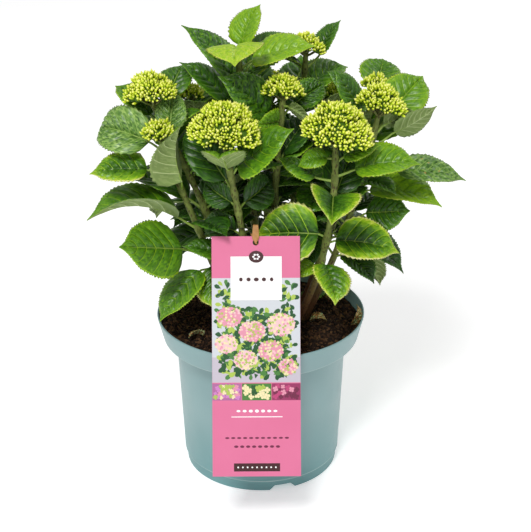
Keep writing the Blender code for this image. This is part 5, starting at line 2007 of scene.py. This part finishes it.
    def motifs(self) -> list[Piece]:
        """The printed leaves and florets, and the three colour samples."""
        found = []
        motifs = (
            ("card_leaves", 1, 8.5, 2.3, 2.2,
             ("leaf ink", "deep leaf ink", "lime ink", "deep leaf ink"), self.GREENERY),
            ("card_florets", 4, 1.5, 2.0, 4.4, ("rose", "cream ink", "pale rose", "lime ink"),
             [self.oval(*oval) for _, *oval in self.HEADS]),
            ("card_sample_left", 4, 2.6, 2.7, 1.2, ("lime ink", "rose", "cream ink", "lilac"),
             [self.box(-43.2, 156, -18.4, 168.2)]),
            ("card_sample_middle", 4, 3.6, 3.9, 1.2, ("lime ink", "deep leaf ink", "cream ink"),
             [self.box(-11.4, 157, 12, 167.2)]),
            ("card_sample_right", 4, 3.1, 3.4, 1.2, ("magenta", "rose", "maroon"),
             [self.box(19.4, 156.4, 42.6, 167.6)]),
        )
        for name, petals, size, gap, layer, inks, outlines in motifs:
            shape = self.petals(petals, size, size * (0.55 if petals == 1 else 0.9))
            scatter = Scatter(name, shape, 1, [self.inked(ink) for ink in inks], gap * MM,
                              smallest=0.75, largest=1.1, lean=0.02, smooth=False)
            found.append(scatter.build(self.printed_area(outlines, layer)))
        return found

    def build(self) -> list[Piece]:
        """The card and everything printed on it."""
        return [self.board(), self.flat_prints(), *self.motifs()]


@dataclass
class Tie:
    """A flat tan strap through the card's hole and round one stem, its narrow run painted dark
    green as shade among the leaves.
    """

    at: float = 0.585  # where it goes round the stem
    radius: float = 0.9 * MM  # that of the plain cord it follows
    slack: float = 0.5 * MM
    thickness: float = 0.35 * MM  # half of it
    widths: tuple[float, ...] = (0.8, 1.1, 3.7, 2.8, 0.5, 0.4, 0.4, 0.4, 0.4, 0.4)  # half, in mm
    thread: float = 0.6 * MM  # where it is narrower than this it is painted dark, as shade among the leaves
    steps: int = 8
    stand: float = 8.5 * MM  # how far it stands up over the card
    leather: Finish = Finish(
        "tan strap", (184, 134, 76), 0.6, other=(160, 110, 58), grain=300.0, relief=0.1 * MM)
    # painted shade: the strap's run among the leaves, darkened to read as shade
    twine: Finish = Finish(
        "green twine", (62, 70, 38), 0.8, other=(48, 50, 30), grain=400.0)

    # its way round the stem: beside it and towards the card, over its distance from the middle
    LOOP = ((-1, 0.5), (-0.75, -0.75), (0, -1.1), (0.75, -0.75), (1, 0.5))

    def route(self, card: PlantingCard, stem: Stem) -> list[tuple[Vector, Vector]]:
        """The strap's closed line.

        Args:
            card: The card that it goes through.
            stem: The stem that it goes round.

        Returns:
            Its points, each with the direction of the strap's width.
        """
        post, way = stem.point(self.at), stem.way(self.at)
        towards = across(way, card.hole - post)
        beside = way.cross(towards)
        round_it = stem.radius(self.at) + self.radius + self.slack
        edge = card.hole_inset + 3 * self.radius
        off = card.thickness / 2 + self.radius + self.slack
        card_points = [
            card.hole - card.out * off * 1.5, card.hole + card.out * off,
            card.hole + card.up * card.hole_inset * 0.9 + card.out * off * 1.3,
            card.hole + card.up * (edge + self.stand) + card.out * self.radius,
            card.hole + card.up * (edge + self.stand * 0.8) - card.out * off * 2.6,
        ]
        stem_points = [post + beside * round_it * aside + towards * round_it * ahead
                       for aside, ahead in self.LOOP]
        return ([(point, card.right) for point in card_points]
                + [(point, way) for point in stem_points])

    def build(self, card: PlantingCard, stem: Stem) -> Piece:
        """The strap, smoothed along its route.

        Args:
            card: The card that it goes through.
            stem: The stem that it goes round.

        Returns:
            The piece.
        """
        route = self.route(card, stem)
        count = len(route)
        centres, asides, halves = [], [], []
        for index in range(count):
            a, b, c, d = (route[(index + step) % count] for step in (-1, 0, 1, 2))
            wide, after = self.widths[index], self.widths[(index + 1) % count]
            for step in range(self.steps):
                t = step / self.steps
                centres.append(b[0] + ((c[0] - a[0]) * t
                                       + (2 * a[0] - 5 * b[0] + 4 * c[0] - d[0]) * t * t
                                       + (3 * b[0] - a[0] - 3 * c[0] + d[0]) * t ** 3) / 2)
                asides.append(b[1].lerp(c[1], ease(t)))
                halves.append(lerp(wide, after, ease(t)) * MM)
        rings, total = [], len(centres)
        for index, (centre, aside, half) in enumerate(zip(centres, asides, halves)):
            way = (centres[(index + 1) % total] - centres[index - 1]).normalized()
            side = across(way, aside)
            up = side.cross(way) * self.thickness
            rings.append([centre + side * half * x + up * z for x, z in (
                (-1, -0.5), (-0.8, -1), (0.8, -1), (1, -0.5), (1, 0.5), (0.8, 1), (-0.8, 1),
                (-1, 0.5))])
        sides = len(rings[0])
        points = [point for one in rings for point in one]
        mesh = mesh_of("strap", points, bands(total, sides, closed=True))
        for finish in (self.leather, self.twine):
            mesh.materials.append(finish.material())
        # painted shade: the narrow run takes the dark finish
        mesh.polygons.foreach_set("material_index", [
            int(half < self.thread) for half in halves for _ in range(sides)])
        mesh = facing_out(mesh)
        mesh.shade_smooth()
        return shown("card_strap", mesh)


# ---- what lies on the soil


class Fallen(Blade):
    """A dry leaf that has dropped onto the soil; its heading and reach are those of its blade."""

    def __init__(self, spot: tuple[float, float, float], leaf: Leaf) -> None:
        """Lays a leaf down.

        Args:
            spot: Its base: x, y and the height over the soil, in millimetres.
            leaf: Its shape.
        """
        self.leaf = leaf
        x, y, height = spot
        base = Vector((x, y, Stem.SOIL_TOP / MM + height)) * MM
        self.node = base
        self.bend(base, base + direction(leaf.heading, leaf.rise) * leaf.reach * MM)


FALLEN = (
    Fallen((100, -20, 3), Leaf(0, 70, 40, 26, Tone.DRY, roll=64, fold=(30, 10), arch=0.2,
                               broad=0.62)),
    Fallen((55, -10, 3), Leaf(0, -14, 12, 19, Tone.DRY, fold=(24, 36), arch=0.2, broad=0.7,
                              roll=14)),
    Fallen((46, 34, 4.5), Leaf(0, 20, 14, 34, roll=30, fold=(30, 10), arch=0.2, broad=0.5)),
    Fallen((34, 40, 5.5), Leaf(0, 160, 20, 20, Tone.DRY, roll=-50, fold=(30, 30), arch=0.25,
                               broad=0.6)),
    Fallen((-62, -44, 4), Leaf(0, 215, 8, 20, Tone.DRY, roll=20, fold=(36, 20), arch=0.2,
                               broad=0.5)),
    Fallen((-30, 74, 4), Leaf(0, 120, 8, 24, Tone.DRY, roll=20, fold=(26, 40), arch=0.2,
                              broad=0.5)),
    Fallen((78, 42, 4), Leaf(0, 60, 4, 18, Tone.DRY, roll=-30, fold=(36, 20), arch=0.2,
                             broad=0.6)),
)


# ---- the studio


@dataclass
class Studio:
    """A pale floor, soft light, and the camera."""

    floor_size: float = 12.0
    target: Vector = field(default_factory=lambda: Vector((0.0056, 0.0, 0.236)))
    distance: float = 1.6
    rise: float = math.radians(25)
    roll: float = math.radians(-0.3)
    lens: float = 98.6
    sky: float = 0.44
    key: float = 66.0
    key_place: tuple[float, float, float] = (-0.6, -2.0, 2.8)
    rim: float = 10.0
    rim_place: tuple[float, float, float] = (1.4, 1.6, 2.2)
    paper: Finish = Finish("studio floor", (250, 250, 250), 0.8, specular=0.1, glow=0.38)

    def floor(self) -> Piece:
        """The pale floor."""
        half = self.floor_size / 2
        corners = [Vector((x * half, y * half, 0)) for x, y in ((-1, -1), (1, -1), (1, 1), (-1, 1))]
        mesh = mesh_of("floor", corners, [(0, 1, 2, 3)])
        mesh.materials.append(self.paper.material())
        floor = shown("floor", mesh)
        return floor

    def lamp(self, name: str, place: Vector, size: float, power: float) -> Piece:
        """A soft square lamp that faces the plant.

        Args:
            name: Its name.
            place: Where it hangs.
            size: Its width.
            power: Its power.

        Returns:
            The lamp.
        """
        data = bpy.data.lights.new(name, "AREA")
        data.energy, data.size = power, size
        lamp = bpy.data.objects.new(name, data)
        lamp.location = place
        lamp.rotation_euler = (place - self.target).to_track_quat("Z", "Y").to_euler()
        bpy.context.scene.collection.objects.link(lamp)
        return lamp

    def build(self) -> None:
        """Sets up the studio."""
        scene = bpy.context.scene
        scene.view_settings.view_transform = "Standard"
        world = bpy.data.worlds.new("studio")
        world.use_nodes = True
        backdrop = world.node_tree.nodes["Background"]
        backdrop.inputs["Color"].default_value = (1.0, 1.0, 1.0, 1.0)
        backdrop.inputs["Strength"].default_value = self.sky
        scene.world = world
        self.floor()
        self.lamp("key", Vector(self.key_place), 0.9, self.key)
        self.lamp("rim", Vector(self.rim_place), 1.0, self.rim)
        back = Vector((0, -math.cos(self.rise), math.sin(self.rise)))
        right = Vector((1, 0, 0))
        turn = Matrix((right, back.cross(right), back)).transposed()
        turn = turn @ Matrix.Rotation(self.roll, 3, "Z")
        lens = bpy.data.cameras.new("camera")
        lens.lens = self.lens
        camera = bpy.data.objects.new("camera", lens)
        camera.matrix_world = Matrix.LocRotScale(self.target + back * self.distance,
                                                 turn.to_quaternion(), None)
        scene.collection.objects.link(camera)
        scene.camera = camera


# ---- everything together

SPRAYS = {
    "leaves_front": ("front_left", "front_right"),
    "leaves_left": ("left", "left_high", "back_left"),
    "leaves_right": ("right", "right_back", "back_right"),
    "leaves_middle": ("crest", "centre"),
    "leaves_rear": ("rear_left", "rear", "rear_right", "rear_low"),
}
FRONT_HEADS = ("front_left", "front_right", "right", "left", "left_high")


def hand_over(piece: Piece, slot: str, *nodes: str) -> None:
    """Ties a piece to the plant's frame and reports it.

    Args:
        piece: The piece.
        slot: Not used.
        nodes: The solids that it stands for.
    """
    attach(piece, BODY)
    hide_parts(*nodes)
    log.info("%s: %d faces", piece.name, len(piece.data.polygons))


def main() -> None:
    """Builds the plant in order, then the studio."""
    logging.basicConfig(level=logging.INFO, format="%(name)s %(message)s")
    pot, card = Pot(), PlantingCard()
    habit = Habit(pot, card)
    log.info("%d leaves and %d inner leaves", sum(map(len, habit.blades.values())),
             sum(map(len, habit.inner.values())))
    hand_over(pot.build(), "pot_plastic", "pot")
    for piece in Soil().build(pot):
        hand_over(piece, "soil", "soil")
    pattern = bpy.data.objects.new("leaf pattern", LeafPattern().mesh())
    for name, shoots in SPRAYS.items():
        blades = [blade for shoot in shoots for blade in habit.blades[shoot]]
        hand_over(Foliage(name).build(blades, pattern), "foliage",
                  *(f"foliage_{shoot}" for shoot in shoots))
    masses = [f"foliage_{shoot.name}" for shoot in SHOOTS]
    coarse = bpy.data.objects.new("coarse leaf pattern", LeafPattern.coarse().mesh())
    hand_over(Foliage("fallen_leaves").build(FALLEN, coarse), "foliage", "soil")
    hand_over(Foliage("leaves_inner").build(
        [blade for blades in habit.inner.values() for blade in blades], coarse), "foliage", *masses)
    stems, *green = Stems().build(habit)
    hand_over(stems, "stem_bark", *(f"stem_{shoot.name}" for shoot in SHOOTS))
    for piece in green:
        hand_over(piece, "foliage", *masses)
    hand_over(Buds().cores(list(habit.heads.values())), "foliage",
              *(f"foliage_{shoot}" for shoot in habit.heads))
    for name, front in (("buds_front", True), ("buds_back", False)):
        heads = {shoot: head for shoot, head in habit.heads.items()
                 if (shoot in FRONT_HEADS) == front}
        hand_over(Buds().build(name, list(heads.values())), "foliage",
                  *(f"foliage_{shoot}" for shoot in heads))
    for piece in card.build():
        hand_over(piece, "printed_card", "tag")
    hand_over(Tie().build(card, habit.stems["front_left"]), "tie", "tag_tie")
    Studio().build()


if __name__ == "__main__":
    main()
